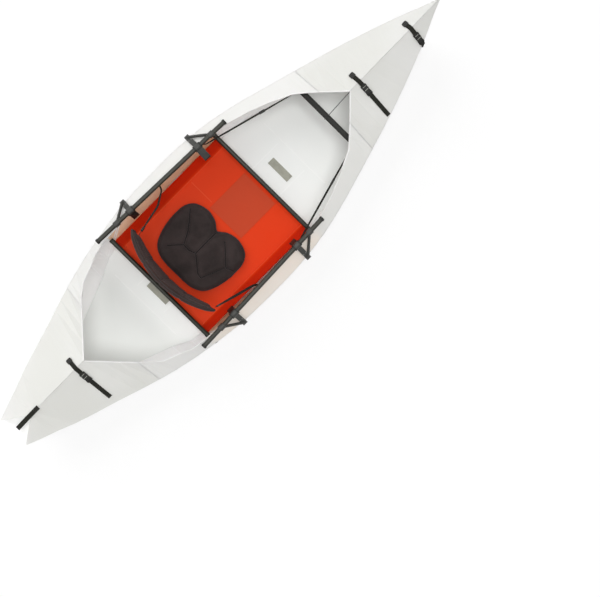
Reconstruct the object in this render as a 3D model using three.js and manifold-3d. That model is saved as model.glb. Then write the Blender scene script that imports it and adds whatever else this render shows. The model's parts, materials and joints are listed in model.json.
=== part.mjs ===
import * as THREE from "three";
import { mergeVertices } from "three/addons/utils/BufferGeometryUtils.js";
import Module from "manifold-3d";

const wasm = await Module();
wasm.setup();

// A kayak folded from one sheet of corrugated plastic. Millimetres, +X to the bow, +Y to port, +Z up,
// with the origin under the middle of its length, on the ground.

// Driving dimensions of the hull
const hullLength = 2743;
const hullBeam = 790;
const bowHeight = 343;
const sheetThickness = 5;
const foldGap = 0.4;
const flapGap = 1.6;
const flapEndGap = 1.6;
const stationSpacing = 75;
const endSpacing = 22;
const lensEndHalf = 5;
const taperShare = 0.35;

// Rows give the place along the hull as a share of its length, the half breadth as a share of half
// the beam, and the height as a share of the bow height
const gunwaleShares = [
  [-0.5, 0.215, 0.698], [-0.479, 0.276, 0.63], [-0.448, 0.357, 0.566], [-0.416, 0.448, 0.516],
  [-0.35, 0.595, 0.44], [-0.284, 0.744, 0.399], [-0.216, 0.866, 0.398], [-0.148, 0.949, 0.411],
  [-0.097, 0.99, 0.424], [0.0044, 1, 0.446], [0.065, 0.972, 0.458], [0.106, 0.93, 0.464],
  [0.1565, 0.85, 0.472], [0.224, 0.7165, 0.484], [0.291, 0.58, 0.531], [0.356, 0.43, 0.63],
  [0.4196, 0.261, 0.749], [0.451, 0.167, 0.819], [0.48, 0.07, 0.927], [0.5, 0.0127, 0.986],
];
const chineShares = [
  [-0.456, 0, 0], [-0.223, 0.595, 0], [-0.192, 0.709, 0], [-0.105, 0.782, 0], [-0.012, 0.815, 0],
  [0.07, 0.787, 0], [0.1467, 0.719, 0], [0.1736, 0.663, 0], [0.4425, 0, 0],
];
const deckEdgeShares = [
  [-0.5, 0.197, 0.703], [-0.459, 0, 0.73], [-0.425, 0, 0.785], [-0.3308, 0, 0.784],
  [-0.2937, 0.286, 0.742], [-0.2602, 0.544, 0.684], [-0.2409, 0.653, 0.647], [-0.2129, 0.729, 0.611],
  [-0.1932, 0.79, 0.595], [-0.163, 0.825, 0.583], [-0.0972, 0.8456, 0.577], [0.0044, 0.8456, 0.574],
  [0.0771, 0.815, 0.577], [0.1135, 0.767, 0.586], [0.155, 0.681, 0.609], [0.1885, 0.587, 0.63],
  [0.2049, 0.529, 0.647], [0.2263, 0.458, 0.6705], [0.2442, 0.347, 0.7026], [0.27, 0.172, 0.7434],
  [0.2944, 0, 0.778], [0.3646, 0, 0.86], [0.43, 0, 0.92], [0.4622, 0, 0.971], [0.4778, 0, 0.997],
  [0.5, 0, 1],
];

// Deck straps: the place along the hull as a share of its length; then, as shares of the deck's slope
// from the ridge, the port anchor, the buckle's far end and the tail's end; and the tail's hang, as a
// share of the side's height
const buckleWidth = 29;
const deckWebWidth = 21;
const deckStrapShares = {
  bow_front: { along: 0.43529, anchor: 0.3733, buckleEnd: 0.9131, tail: 1, hang: 0.4519 },
  bow_rear: { along: 0.31681, anchor: 0.2071, buckleEnd: 0.35794, tail: 0.9635, hang: 0 },
  stern: { along: -0.34998, anchor: 0.1977, buckleEnd: 0.34404, tail: 0.8402, hang: 0 },
};

const heelShare = -0.4774;
const toeShare = 0.4538;
const sternStemTopShares = [0.209, 0.665];
const bowStemTopShares = [0, 0.947];
const ridgeEndShare = -0.459;
const cockpitRearShare = -0.3308;
const cockpitFrontShare = 0.2944;
const bowSplitShare = 0.259;
const sternSplitShare = -0.272;
const notchShares = [-0.4895, 0, 0.63];

const halfBeam = hullBeam / 2;
const heel = heelShare * hullLength;
const toe = toeShare * hullLength;
const lensStart = chineShares[0][0] * hullLength;
const lensEnd = chineShares[chineShares.length - 1][0] * hullLength;
const ridgeEnd = ridgeEndShare * hullLength;
const cockpitRear = cockpitRearShare * hullLength;
const cockpitFront = cockpitFrontShare * hullLength;
const bowSplit = bowSplitShare * hullLength;
const sternSplit = sternSplitShare * hullLength;
const sternTip = -hullLength / 2;
const bowTip = hullLength / 2;

const port = 1;
const starboard = -1;
const sides = { port, starboard };

// Materials
function material(color, roughness, metalness) {
  return new THREE.MeshStandardMaterial({ color, roughness, metalness });
}
const hullSheet = material(0xe4e5e3, 0.55, 0);
const blackMoulding = material(0x1a1a1a, 0.5, 0);
const blackTube = material(0x33352f, 0.4, 0.6);
const blackWebbing = material(0x24241f, 0.9, 0);
const floorSheet = material(0xd9401c, 0.6, 0);
const floorCoverSheet = material(0xb5492f, 0.6, 0);
const greyLoop = material(0x96988e, 0.95, 0);
const seatFabric = material(0x322a2c, 0.9, 0);
const footFoam = material(0x3a3b38, 0.85, 0);
const boltSteel = material(0x4a4a4a, 0.4, 1);

const group = new THREE.Group();

function addPiece(name, geometry, finish, parent = group) {
  const mesh = new THREE.Mesh(geometry, finish);
  mesh.name = name;
  parent.add(mesh);
  return mesh;
}

// Closed bodies

// A closed body from shared points and triangles, turned so that its faces point out
function closedBody(points, triangles) {
  let volume = 0;
  const cross = new THREE.Vector3();
  for (const [a, b, c] of triangles) {
    volume += points[a].dot(cross.crossVectors(points[b], points[c]));
  }
  const turned = volume > 0 ? triangles : triangles.map(([a, b, c]) => [a, c, b]);
  const geometry = new THREE.BufferGeometry().setFromPoints(points);
  geometry.setIndex(turned.flat());
  geometry.computeVertexNormals();
  return geometry;
}

// A body through loops of as many points each, with flat ends. One strip of it can be cut along its
// other diagonal, so that the two faces of a twisted sheet keep their distance
function loft(loops, turnedStrip = -1) {
  const count = loops[0].length;
  const triangles = [];
  for (let row = 0; row + 1 < loops.length; row += 1) {
    for (let corner = 0; corner < count; corner += 1) {
      const a = row * count + corner;
      const b = row * count + (corner + 1) % count;
      if (corner === turnedStrip) triangles.push([a, b, a + count], [b, b + count, a + count]);
      else triangles.push([a, b, b + count], [a, b + count, a + count]);
    }
  }
  const last = (loops.length - 1) * count;
  for (let corner = 1; corner + 1 < count; corner += 1) {
    triangles.push([0, corner + 1, corner], [last, last + corner, last + corner + 1]);
  }
  return closedBody(loops.flat(), triangles);
}

function bareMesh(geometry) {
  const bare = geometry.clone();
  bare.deleteAttribute("normal");
  bare.deleteAttribute("uv");
  return mergeVertices(bare);
}

function toSolid(geometry) {
  const bare = bareMesh(geometry);
  const vertProperties = Float32Array.from(bare.attributes.position.array);
  const triVerts = Uint32Array.from(bare.index.array);
  return new wasm.Manifold(new wasm.Mesh({ numProp: 3, vertProperties, triVerts }));
}

function toGeometry(solid) {
  const { vertProperties, triVerts, numProp } = solid.getMesh();
  const points = [];
  for (let start = 0; start < vertProperties.length; start += numProp) {
    points.push(new THREE.Vector3().fromArray(vertProperties, start));
  }
  const triangles = [];
  for (let start = 0; start < triVerts.length; start += 3) {
    triangles.push([...triVerts.slice(start, start + 3)]);
  }
  return closedBody(points, triangles);
}

function joinAll(geometries) {
  return geometries.map(toSolid).reduce((whole, next) => whole.add(next));
}

const bodiesAsOne = (geometries) => toGeometry(joinAll(geometries));

// The same body on the other side of the hull
function mirrored(geometry) {
  const bare = bareMesh(geometry);
  const place = bare.attributes.position;
  const points = [];
  for (let i = 0; i < place.count; i += 1) {
    points.push(new THREE.Vector3(place.getX(i), -place.getY(i), place.getZ(i)));
  }
  const index = [...bare.index.array];
  const triangles = [];
  for (let start = 0; start < index.length; start += 3) triangles.push(index.slice(start, start + 3));
  return closedBody(points, triangles);
}

const onSide = (geometry, side) => (side === port ? geometry : mirrored(geometry));

const axisX = new THREE.Vector3(1, 0, 0);
const axisY = new THREE.Vector3(0, 1, 0);
const axisZ = new THREE.Vector3(0, 0, 1);
const acrossHull = new THREE.Matrix4().makeBasis(axisY, axisZ, axisX);

// An outline of (across, up) points, carried along X and centred on it
function alongBar(outline, width) {
  const settings = { depth: width, bevelEnabled: false, steps: 1 };
  const bar = new THREE.ExtrudeGeometry(new THREE.Shape(outline), settings);
  return bar.translate(0, 0, -width / 2).applyMatrix4(acrossHull);
}

// A rod between two points
function rod(from, to, radius, segments) {
  const span = to.clone().sub(from);
  const shaft = new THREE.CylinderGeometry(radius, radius, span.length(), segments);
  shaft.applyQuaternion(new THREE.Quaternion().setFromUnitVectors(axisY, span.clone().normalize()));
  return shaft.translate(...from.clone().add(to).divideScalar(2).toArray());
}

// A ring round X, centred at a place along it
function ringAt(place, outer, inner, length, segments) {
  const half = length / 2;
  const profile = [[inner, -half], [outer, -half], [outer, half], [inner, half], [inner, -half]];
  const ring = new THREE.LatheGeometry(profile.map(([r, h]) => new THREE.Vector2(r, h)), segments);
  return ring.rotateZ(-Math.PI / 2).translate(place, 0, 0);
}

const barRound = (length, radius, segments) =>
  new THREE.CylinderGeometry(radius, radius, length, segments).rotateZ(Math.PI / 2);

function box(low, high) {
  const size = high.clone().sub(low);
  const centre = low.clone().add(high).divideScalar(2);
  return new THREE.BoxGeometry(...size.toArray()).translate(...centre.toArray());
}

// A flat strip along points, its width along one direction, its thickness square to both
function ribbon(points, widthAxis, width, thickness) {
  const half = widthAxis.clone().normalize().multiplyScalar(width / 2);
  const normals = points.slice(1).map((point, i) =>
    point.clone().sub(points[i]).cross(widthAxis).normalize());
  const loops = points.map((point, i) => {
    const before = normals[Math.max(i - 1, 0)];
    const after = normals[Math.min(i, normals.length - 1)];
    const rise = before.clone().add(after).multiplyScalar(thickness / 2 / (1 + before.dot(after)));
    return [
      point.clone().add(half).add(rise), point.clone().sub(half).add(rise),
      point.clone().sub(half).sub(rise), point.clone().add(half).sub(rise),
    ];
  });
  return loft(loops);
}

// The outline of a strip of even thickness along (across, up) points
function thickPath(points, thickness) {
  const normals = points.slice(1).map((point, i) => leftNormal(points[i], point));
  const edge = (sign) => points.map((point, i) => {
    const before = normals[Math.max(i - 1, 0)];
    const after = normals[Math.min(i, normals.length - 1)];
    return foldInner(point, before, after, sign * thickness / 2);
  });
  return [...edge(1), ...edge(-1).reverse()];
}

// The hull's section at a place along it, on (across, up) points of its port side

const flat = (across, up) => new THREE.Vector2(across, up);
const solidPoint = (x, side, point) => new THREE.Vector3(x, side * point.x, point.y);

function leftNormal(from, to) {
  return flat(from.y - to.y, to.x - from.x).normalize();
}

// The point inside a fold at the sheet's depth, from the inward normals of its two panels
function foldInner(point, normalA, normalB, depth) {
  const sum = normalA.clone().add(normalB);
  return point.clone().addScaledVector(sum, depth / (1 + normalA.dot(normalB)));
}

function rowBefore(table, share) {
  let row = 0;
  while (row < table.length - 2 && share > table[row + 1][0]) row += 1;
  return row;
}

function straightValue(table, share, column) {
  const row = rowBefore(table, share);
  const [start, end] = [table[row], table[row + 1]];
  return THREE.MathUtils.mapLinear(share, start[0], end[0], start[column], end[column]);
}

function slopeAt(table, row, column) {
  const before = table[Math.max(row - 1, 0)];
  const after = table[Math.min(row + 1, table.length - 1)];
  return (after[column] - before[column]) / (after[0] - before[0]);
}

// A smooth curve through a table's rows
function smoothValue(table, share, column) {
  const row = rowBefore(table, share);
  const [start, end] = [table[row], table[row + 1]];
  const span = end[0] - start[0];
  const t = (share - start[0]) / span;
  const rise = (3 - 2 * t) * t * t;
  const leave = t * (1 - t) ** 2 * span * slopeAt(table, row, column);
  const arrive = t * t * (t - 1) * span * slopeAt(table, row + 1, column);
  return start[column] + rise * (end[column] - start[column]) + leave + arrive;
}

function tablePoint(table, x, valueAt) {
  const share = x / hullLength;
  return flat(halfBeam * valueAt(table, share, 1), bowHeight * valueAt(table, share, 2));
}

const deckEdgeAt = (x) => tablePoint(deckEdgeShares, x, straightValue);
// Where the bottom panel ends, short of the points of its lens shape
const [lensFirst, lensSecond] = chineShares;
const [lensLastButOne, lensLast] = chineShares.slice(-2);
const lensSlope = (inner, outer) => halfBeam * inner[1] / Math.abs((inner[0] - outer[0]) * hullLength);
const bottomStart = lensStart + lensEndHalf / lensSlope(lensSecond, lensFirst);
const bottomEnd = lensEnd - lensEndHalf / lensSlope(lensLastButOne, lensLast);

// Places along the hull that every panel shares: each corner of its fold lines, and even ones between
function sharedStations() {
  const corners = [...chineShares, ...deckEdgeShares].map((row) => row[0] * hullLength);
  const splits = [sternSplit, bowSplit].flatMap((x) => [x - flapEndGap / 2, x + flapEndGap / 2]);
  const places = Object.values(deckStrapShares).map(({ along }) => along * hullLength);
  const straps = places.flatMap((x) => [x - buckleWidth / 2, x + buckleWidth / 2]);
  const fixed = [...new Set([...corners, ...splits, ...straps, heel, toe, bottomStart, bottomEnd])];
  fixed.sort((a, b) => a - b);
  const stations = [fixed[0]];
  for (let i = 1; i < fixed.length; i += 1) {
    const past = fixed[i] <= heel || fixed[i - 1] >= toe;
    const spacing = past ? endSpacing : stationSpacing;
    const parts = Math.ceil((fixed[i] - fixed[i - 1]) / spacing);
    for (let part = 1; part < parts; part += 1) {
      stations.push(THREE.MathUtils.lerp(fixed[i - 1], fixed[i], part / parts));
    }
    stations.push(fixed[i]);
  }
  return stations;
}
const stations = sharedStations();
const stationsBetween = (start, end) => stations.filter((x) => x >= start && x <= end);

// The gunwale runs straight between stations, as the panels do
const gunwaleRows = stations.map((x) => {
  const share = x / hullLength;
  return [share, smoothValue(gunwaleShares, share, 1), smoothValue(gunwaleShares, share, 2)];
});
const gunwaleAt = (x) => tablePoint(gunwaleRows, x, straightValue);

const shareBetween = (x, start, end) => (x - start) / (end - start);
const stemTop = ([across, up]) => flat(across * halfBeam, up * bowHeight);

// The lower edge of a side panel: a stem, the keel fold or the chine
function lowEdgeAt(x) {
  if (x < heel) return stemTop(sternStemTopShares).multiplyScalar(shareBetween(x, heel, sternTip));
  if (x > toe) return stemTop(bowStemTopShares).multiplyScalar(shareBetween(x, toe, bowTip));
  if (x < lensStart || x > lensEnd) return flat(0, 0);
  return tablePoint(chineShares, x, straightValue);
}

const acrossMirror = (normal) => flat(-normal.x, normal.y);

function lowFoldNormal(x, sideNormal) {
  if (x < heel) return sideNormal;
  if (x < lensStart || x > lensEnd) return acrossMirror(sideNormal);
  return flat(0, 1);
}

function sectionAt(x) {
  const low = lowEdgeAt(x);
  const gunwale = gunwaleAt(x);
  const edge = deckEdgeAt(x);
  const sideNormal = leftNormal(low, gunwale);
  const deckNormal = leftNormal(gunwale, edge);
  const reach = Math.min(low.distanceTo(gunwale), gunwale.distanceTo(edge));
  const depth = Math.min(sheetThickness, reach * taperShare);
  const open = (x > cockpitRear && x < cockpitFront) || x < ridgeEnd;
  const edgeNormal = open ? deckNormal : acrossMirror(deckNormal);
  return {
    low, gunwale, edge, sideNormal, deckNormal,
    innerLow: foldInner(low, lowFoldNormal(x, sideNormal), sideNormal, depth),
    innerGunwale: foldInner(gunwale, sideNormal, deckNormal, depth),
    innerEdge: foldInner(edge, deckNormal, edgeNormal, depth),
  };
}

// A panel's four corners between two outer and two inner fold points, drawn back by its gaps
function panelLoop(x, side, outer, inner, gaps) {
  const run = outer[1].clone().sub(outer[0]).normalize();
  const drawn = [
    outer[0].clone().addScaledVector(run, gaps[0]), outer[1].clone().addScaledVector(run, -gaps[1]),
    inner[1].clone().addScaledVector(run, -gaps[1]), inner[0].clone().addScaledVector(run, gaps[0]),
  ];
  for (const corner of drawn) corner.x = Math.max(corner.x, foldGap / 2);
  return drawn.map((corner) => solidPoint(x, side, corner));
}

function sidePanel(side) {
  return loft(stationsBetween(sternTip, bowTip).map((x) => {
    const cut = sectionAt(x);
    const gaps = [foldGap / 2, foldGap / 2];
    return panelLoop(x, side, [cut.low, cut.gunwale], [cut.innerLow, cut.innerGunwale], gaps);
  }), 0);
}

function deckPanel(side, start, end, gunwaleGap) {
  return loft(stationsBetween(start, end).map((x) => {
    const cut = sectionAt(x);
    const gaps = [gunwaleGap, foldGap / 2];
    const loop = panelLoop(x, side, [cut.gunwale, cut.edge], [cut.innerGunwale, cut.innerEdge], gaps);
    return [loop[0], loop[3], loop[2], loop[1]];
  }), 1);
}

function bottomPanel() {
  return loft(stationsBetween(bottomStart, bottomEnd).map((x) => {
    const cut = sectionAt(x);
    const half = cut.low.x - foldGap / 2;
    const innerHalf = Math.max(cut.innerLow.x - foldGap / 2, foldGap);
    const height = sheetThickness;
    return [flat(half, 0), flat(innerHalf, height), flat(-innerHalf, height), flat(-half, 0)]
      .map((corner) => solidPoint(x, port, corner));
  }));
}

addPiece("hull_bottom", bottomPanel(), hullSheet);
for (const [name, side] of Object.entries(sides)) {
  addPiece(`hull_side_${name}`, sidePanel(side), hullSheet);
  const stripStart = sternSplit + flapEndGap / 2;
  const stripEnd = bowSplit - flapEndGap / 2;
  addPiece(`deck_strip_${name}`, deckPanel(side, stripStart, stripEnd, foldGap / 2), hullSheet);
  const bowStart = bowSplit + flapEndGap / 2;
  addPiece(`bow_deck_${name}`, deckPanel(side, bowStart, bowTip, flapGap), hullSheet);
  const sternEnd = sternSplit - flapEndGap / 2;
  addPiece(`stern_deck_${name}`, deckPanel(side, sternTip, sternEnd, flapGap), hullSheet);
}

// Stern fold panels: two transom triangles and two gussets that meet at the notch
const foldPanelForward = 4;
const foldPanelDrop = 3;
const foldTipRun = 0.07;
const foldFootRun = 0.075;
const foldRidgeDrop = 9;
const foldRidgeBack = 3;

function sternFoldPanels() {
  const [tipAcross, tipUp] = sternStemTopShares;
  const notch = new THREE.Vector3(notchShares[0] * hullLength, 0, notchShares[2] * bowHeight);
  const tip = new THREE.Vector3(sternTip, tipAcross * halfBeam, tipUp * bowHeight).lerp(notch, foldTipRun);
  const foot = new THREE.Vector3(heel, 0, 0).lerp(notch, foldFootRun);
  const ridge = new THREE.Vector3(ridgeEnd - foldRidgeBack, 0, deckEdgeAt(ridgeEnd).y - foldRidgeDrop);
  const otherTip = tip.clone().setY(-tip.y);
  const outer = [notch, tip, foot, otherTip, ridge];
  const shift = new THREE.Vector3(foldPanelForward, 0, -foldPanelDrop);
  const inner = outer.map((point) => point.clone().add(shift));
  const triangles = [];
  for (let corner = 1; corner <= 4; corner += 1) {
    const next = corner % 4 + 1;
    triangles.push([0, corner, next], [5, 5 + next, 5 + corner]);
    triangles.push([corner, 5 + next, next], [corner, 5 + corner, 5 + next]);
  }
  return closedBody([...outer, ...inner], triangles);
}
addPiece("stern_fold_panels", sternFoldPanels(), hullSheet);

// Corner bumpers: moulded caps that wrap the toe and the heel of the hull
const bumperWall = 2.5;
const bumperGap = 0.75;
const bumperLength = 78;
const bumperHeight = 62;
const bumperSag = 15;

// The port half of the hull's wedge near its ends, grown outwards, reaching past the middle plane
function grownWedge(start, end, stemSlope, growth, pastMiddle) {
  const places = [...new Set([start, ...stationsBetween(start, end), end])];
  return loft(places.map((x) => {
    const cut = sectionAt(x);
    const run = cut.gunwale.clone().sub(cut.low).normalize();
    const top = cut.gunwale.clone().addScaledVector(cut.sideNormal, -growth);
    const past = x < heel || x > toe;
    const floor = cut.low.y - growth * (past ? Math.hypot(1, stemSlope) : 1);
    const half = top.x - (top.y - floor) * run.x / run.y;
    return [flat(half, floor), top, flat(-pastMiddle, top.y), flat(-pastMiddle, floor)]
      .map((corner) => solidPoint(x, port, corner));
  }), 0);
}

function bumper(cornerX, stemX, stemZ, direction) {
  const out = bumperWall + bumperGap;
  const stemRun = flat(stemX - cornerX, stemZ).normalize();
  const top = flat(cornerX, 0).addScaledVector(stemRun, bumperHeight);
  const back = cornerX - direction * bumperLength;
  const shape = new THREE.Shape();
  shape.moveTo(back, foldGap);
  shape.lineTo(cornerX + direction * out, foldGap);
  shape.lineTo(top.x + direction * out, top.y);
  const middle = flat(back, foldGap).add(top).divideScalar(2);
  const pull = flat(cornerX, 0).sub(middle).setLength(bumperSag * 2);
  shape.quadraticCurveTo(middle.x + pull.x, middle.y + pull.y, back, foldGap);
  const settings = { depth: bumperLength * 2, bevelEnabled: false, curveSegments: 8 };
  const plate = new THREE.ExtrudeGeometry(shape, settings).translate(0, 0, -bumperLength)
    .rotateX(Math.PI / 2);
  const reach = bumperLength + out * 2;
  const [start, end] = [cornerX - reach, cornerX + reach];
  const limits = [Math.max(start, sternTip), Math.min(end, bowTip)];
  const slope = stemZ / Math.abs(stemX - cornerX);
  const outside = toSolid(grownWedge(...limits, slope, out, foldGap));
  const inside = toSolid(grownWedge(...limits, slope, bumperGap, bumperLength));
  const half = toGeometry(toSolid(plate).intersect(outside).subtract(inside));
  return bodiesAsOne([half, mirrored(half)]);
}
const bowStemHeight = bowStemTopShares[1] * bowHeight;
const sternStemHeight = sternStemTopShares[1] * bowHeight;
addPiece("bow_bumper", bumper(toe, bowTip, bowStemHeight, 1), blackMoulding);
addPiece("stern_bumper", bumper(heel, sternTip, sternStemHeight, -1), blackMoulding);

// A place on a side wall at a height, moved inside its inner face or outside its outer face
function wallPoint(x, up, offInside, offOutside = 0) {
  const cut = sectionAt(x);
  const [low, high] = offInside ? [cut.innerLow, cut.innerGunwale] : [cut.low, cut.gunwale];
  const across = THREE.MathUtils.mapLinear(up, low.y, high.y, low.x, high.x);
  return flat(across, up).addScaledVector(cut.sideNormal, offInside - offOutside);
}

const frameSpan = 12;

// A frame from a place and two runs along a surface: X along the first, Z square to both
function surfaceFrame(place, first, second, outward) {
  const along = first.clone().normalize();
  const off = along.clone().cross(second).normalize();
  if (off.dot(outward) < 0) off.negate();
  const frame = new THREE.Matrix4().makeBasis(along, off.clone().cross(along), off);
  return frame.setPosition(place.x, place.y, place.z);
}

// A frame on the port wall: X forward, Z away from the wall on the side given
function wallFrame(x, up, offInside, offOutside = 0) {
  const at = (along, height) => solidPoint(along, port, wallPoint(along, height, offInside, offOutside));
  const place = at(x, up);
  const forward = at(x + frameSpan, up).sub(at(x - frameSpan, up));
  const upward = at(x, up + frameSpan).sub(place);
  const outward = axisY.clone().multiplyScalar(offInside ? -1 : 1);
  return surfaceFrame(place, forward, upward, outward);
}

const discX = -437;
const discHeight = 129;
const discRadius = 14;
const discThickness = 2;
const surfaceGap = 0.4;

function wallDisc() {
  const disc = new THREE.CylinderGeometry(discRadius, discRadius, discThickness, 32);
  const middle = surfaceGap + discThickness / 2;
  return disc.rotateX(Math.PI / 2).applyMatrix4(wallFrame(discX, discHeight, 0, middle));
}
addPiece("side_disc", onSide(wallDisc(), starboard), boltSteel);

// Floorboard: a sheet with its sides turned up, a cover on its middle, and bars across its ends
const boardThickness = 5;
const boardStart = -458;
const boardEnd = 252;
const boardBottomHalf = 262;
const boardTopHalf = 305;
const boardFlangeHeight = 69;
const boardLift = 0.4;
const coverStart = -14;
const coverEnd = 222;
const coverHalf = 105;
const coverThickness = 1;
const boardTop = sheetThickness + boardLift + boardThickness;

function floorboard() {
  const middle = sheetThickness + boardLift + boardThickness / 2;
  const path = [flat(boardTopHalf, boardFlangeHeight), flat(boardBottomHalf, middle),
    flat(-boardBottomHalf, middle), flat(-boardTopHalf, boardFlangeHeight)];
  const board = alongBar(thickPath(path, boardThickness), boardEnd - boardStart);
  return board.translate((boardStart + boardEnd) / 2, 0, 0);
}
addPiece("floorboard", floorboard(), floorSheet);

function slab(startX, endX, fromY, toY, bottom, thickness) {
  const low = new THREE.Vector3(startX, fromY, bottom);
  return box(low, new THREE.Vector3(endX, toY, bottom + thickness));
}
const coverBottom = boardTop + foldGap;
const cover = slab(coverStart, coverEnd, -coverHalf, coverHalf, coverBottom, coverThickness);
addPiece("floor_cover", cover, floorCoverSheet);

const patchHalf = 63.5;
const patchCentre = -6;
const patchThickness = 2.5;
const patchPlaces = { front: [333, 371], rear: [-492, -464] };
for (const [name, [start, end]] of Object.entries(patchPlaces)) {
  const bottom = sheetThickness + foldGap;
  const low = patchCentre - patchHalf;
  const patch = slab(start, end, low, low + patchHalf * 2, bottom, patchThickness);
  addPiece(`loop_patch_${name}`, patch, greyLoop);
}

const barRadius = 11;
const barWall = 1.5;
const barHeight = 81.9;
const plugLength = 14;
const plugRadius = 12;
const barPlaces = { front: 244.5, rear: -447.5 };

// A crossbar with its end plugs, from wall to wall
function crossbar(x) {
  const low = barHeight - plugRadius;
  const reach = Math.min(wallPoint(x - plugRadius, low, surfaceGap).x,
    wallPoint(x + plugRadius, low, surfaceGap).x);
  const profile = [[0, -reach], [plugRadius, -reach], [plugRadius, plugLength - reach],
    [barRadius, plugLength - reach], [barRadius, reach - plugLength], [plugRadius, reach - plugLength],
    [plugRadius, reach], [0, reach]];
  const turned = new THREE.LatheGeometry(profile.map(([r, h]) => flat(r, h)), 24);
  return turned.translate(x, 0, barHeight);
}
for (const [name, x] of Object.entries(barPlaces)) {
  addPiece(`crossbar_${name}`, crossbar(x), blackTube);
}

// Side rails: a tube above each deck strip on two brackets, with two latches that turn on it
const railRearShares = [-0.174, 0.863];
const railFrontShares = [0.1114, 0.797];
const railAboveDeck = 19.1634;
const capLength = 12;
const capPlug = 10;
const bracketShares = { rear: -0.1019, front: 0.0528 };
const collarRadius = 15;
const collarLength = 26;
const boreGap = 0.35;
const legWidth = 24;
const legThickness = 10;
const legLift = 2.6;
const legTopRun = 0.3;
const footLowShare = 0.34402;
const footLow = footLowShare * bowHeight;
const strutRadius = 7;
const strutReach = 85;
const strutStartRun = 0.15;
const strutLift = 6;
const boltHeadRadius = 6;
const boltHeadHeight = 4;
const boltRadius = 3;
const boltRun = 0.6;
const boltShort = 1.1;

const railHeight = deckEdgeAt(0).y + railAboveDeck;
const railRear = flat(railRearShares[0] * hullLength, railRearShares[1] * halfBeam);
const railFront = flat(railFrontShares[0] * hullLength, railFrontShares[1] * halfBeam);
const railLength = railRear.distanceTo(railFront);
const railMiddle = railRear.clone().add(railFront).divideScalar(2);
const railTurn = Math.atan2(railFront.y - railRear.y, railFront.x - railRear.x);
const railFrame = new THREE.Matrix4().makeRotationZ(railTurn)
  .setPosition(railMiddle.x, railMiddle.y, railHeight);
const alongRail = (x) => (x - railMiddle.x) / Math.cos(railTurn);

const railTube = () => ringAt(0, barRadius, barRadius - barWall, railLength, 28).applyMatrix4(railFrame);

function railCap(direction) {
  const start = railLength / 2 + foldGap;
  const bore = barRadius - barWall - foldGap;
  const profile = [[0, start - capPlug], [bore, start - capPlug], [bore, start], [collarRadius - 2, start],
    [collarRadius - 2, start + capLength - 2], [collarRadius - 4, start + capLength],
    [0, start + capLength]];
  const cap = new THREE.LatheGeometry(profile.map(([r, h]) => flat(r, h)), 28);
  return cap.rotateZ(-direction * Math.PI / 2).applyMatrix4(railFrame);
}

// The bracket's centre line round the deck strip, as (across, up) points from the tube to the foot
function legPath(x) {
  const cut = sectionAt(x);
  const out = -(legLift + legThickness / 2);
  const top = cut.edge.clone().lerp(cut.gunwale, legTopRun).addScaledVector(cut.deckNormal, out);
  const bend = foldInner(cut.gunwale, cut.sideNormal, cut.deckNormal, out);
  const foot = wallPoint(x, footLow, 0, -out);
  const tube = flat(railPoint(x).y, railHeight);
  return { tube, top, bend, foot, cut };
}

function railPoint(x) {
  return new THREE.Vector3(alongRail(x), 0, 0).applyMatrix4(railFrame);
}

function bracket(x, direction) {
  const { tube, top, bend, foot, cut } = legPath(x);
  const leg = alongBar(thickPath([tube, top, bend, foot], legThickness), legWidth).translate(x, 0, 0);
  const lift = bend.clone().lerp(top, strutStartRun).addScaledVector(cut.deckNormal, -strutLift);
  const start = solidPoint(x, port, lift);
  const far = x + direction * strutReach;
  const strut = rod(start, railPoint(far), strutRadius, 14);
  const collars = [x, far].map((place) =>
    barRound(collarLength, collarRadius, 28).translate(alongRail(place), 0, 0).applyMatrix4(railFrame));
  const bore = barRound(railLength * 2, barRadius + boreGap, 28).applyMatrix4(railFrame);
  const [hole] = boltRods(x, boltRadius + foldGap, boltRadius, legThickness);
  return toGeometry(joinAll([leg, strut, ...collars]).subtract(toSolid(bore)).subtract(toSolid(hole)));
}

// Rods for a foot bolt's shank and head, square to the hull's side
function boltRods(x, shankRadius, headRadius, pastFoot) {
  const { bend, foot, cut } = legPath(x);
  const middle = bend.clone().lerp(foot, boltRun);
  const at = (off) => solidPoint(x, port, middle.clone().addScaledVector(cut.sideNormal, off));
  const hullSide = legThickness / 2 + legLift - boltShort;
  const outside = -(legThickness / 2 + foldGap);
  const shank = rod(at(hullSide), at(outside - pastFoot), shankRadius, 16);
  return [shank, rod(at(outside), at(outside - boltHeadHeight), headRadius, 24)];
}
const footBolt = (x) => toGeometry(joinAll(boltRods(x, boltRadius, boltHeadRadius, 1)));

// A latch: two rings on the tube beside a collar, and a plate with a turned lip
const latchRingLength = 7;
const latchRingGap = 0.4;
const latchPlateWidth = 34;
const latchPlateThickness = 4;
const latchInboard = 8;
const latchTop = 9;
const latchDrop = 66;
const latchLipDrop = 70;
const latchLipOut = 6;
const latchOpenAngle = 85;
const latchRestAngle = 22;

function latch(x, openAngle) {
  const offset = collarLength / 2 + latchRingGap + latchRingLength / 2;
  const rings = [-offset, offset].map((place) =>
    barRound(latchRingLength, collarRadius, 28).translate(place, 0, 0));
  const path = [flat(-latchInboard, -latchTop), flat(-latchInboard, -latchDrop),
    flat(latchLipOut, -latchLipDrop)];
  const plate = alongBar(thickPath(path, latchPlateThickness), latchPlateWidth);
  const bore = barRound(railLength, barRadius + boreGap, 28);
  const clear = barRound(collarLength + latchRingGap * 2, collarRadius + 1, 28);
  const whole = joinAll([...rings, plate]).subtract(toSolid(bore)).subtract(toSolid(clear));
  const turned = toGeometry(whole).rotateX(-THREE.MathUtils.degToRad(openAngle));
  return turned.translate(alongRail(x), 0, 0).applyMatrix4(railFrame);
}

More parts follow.
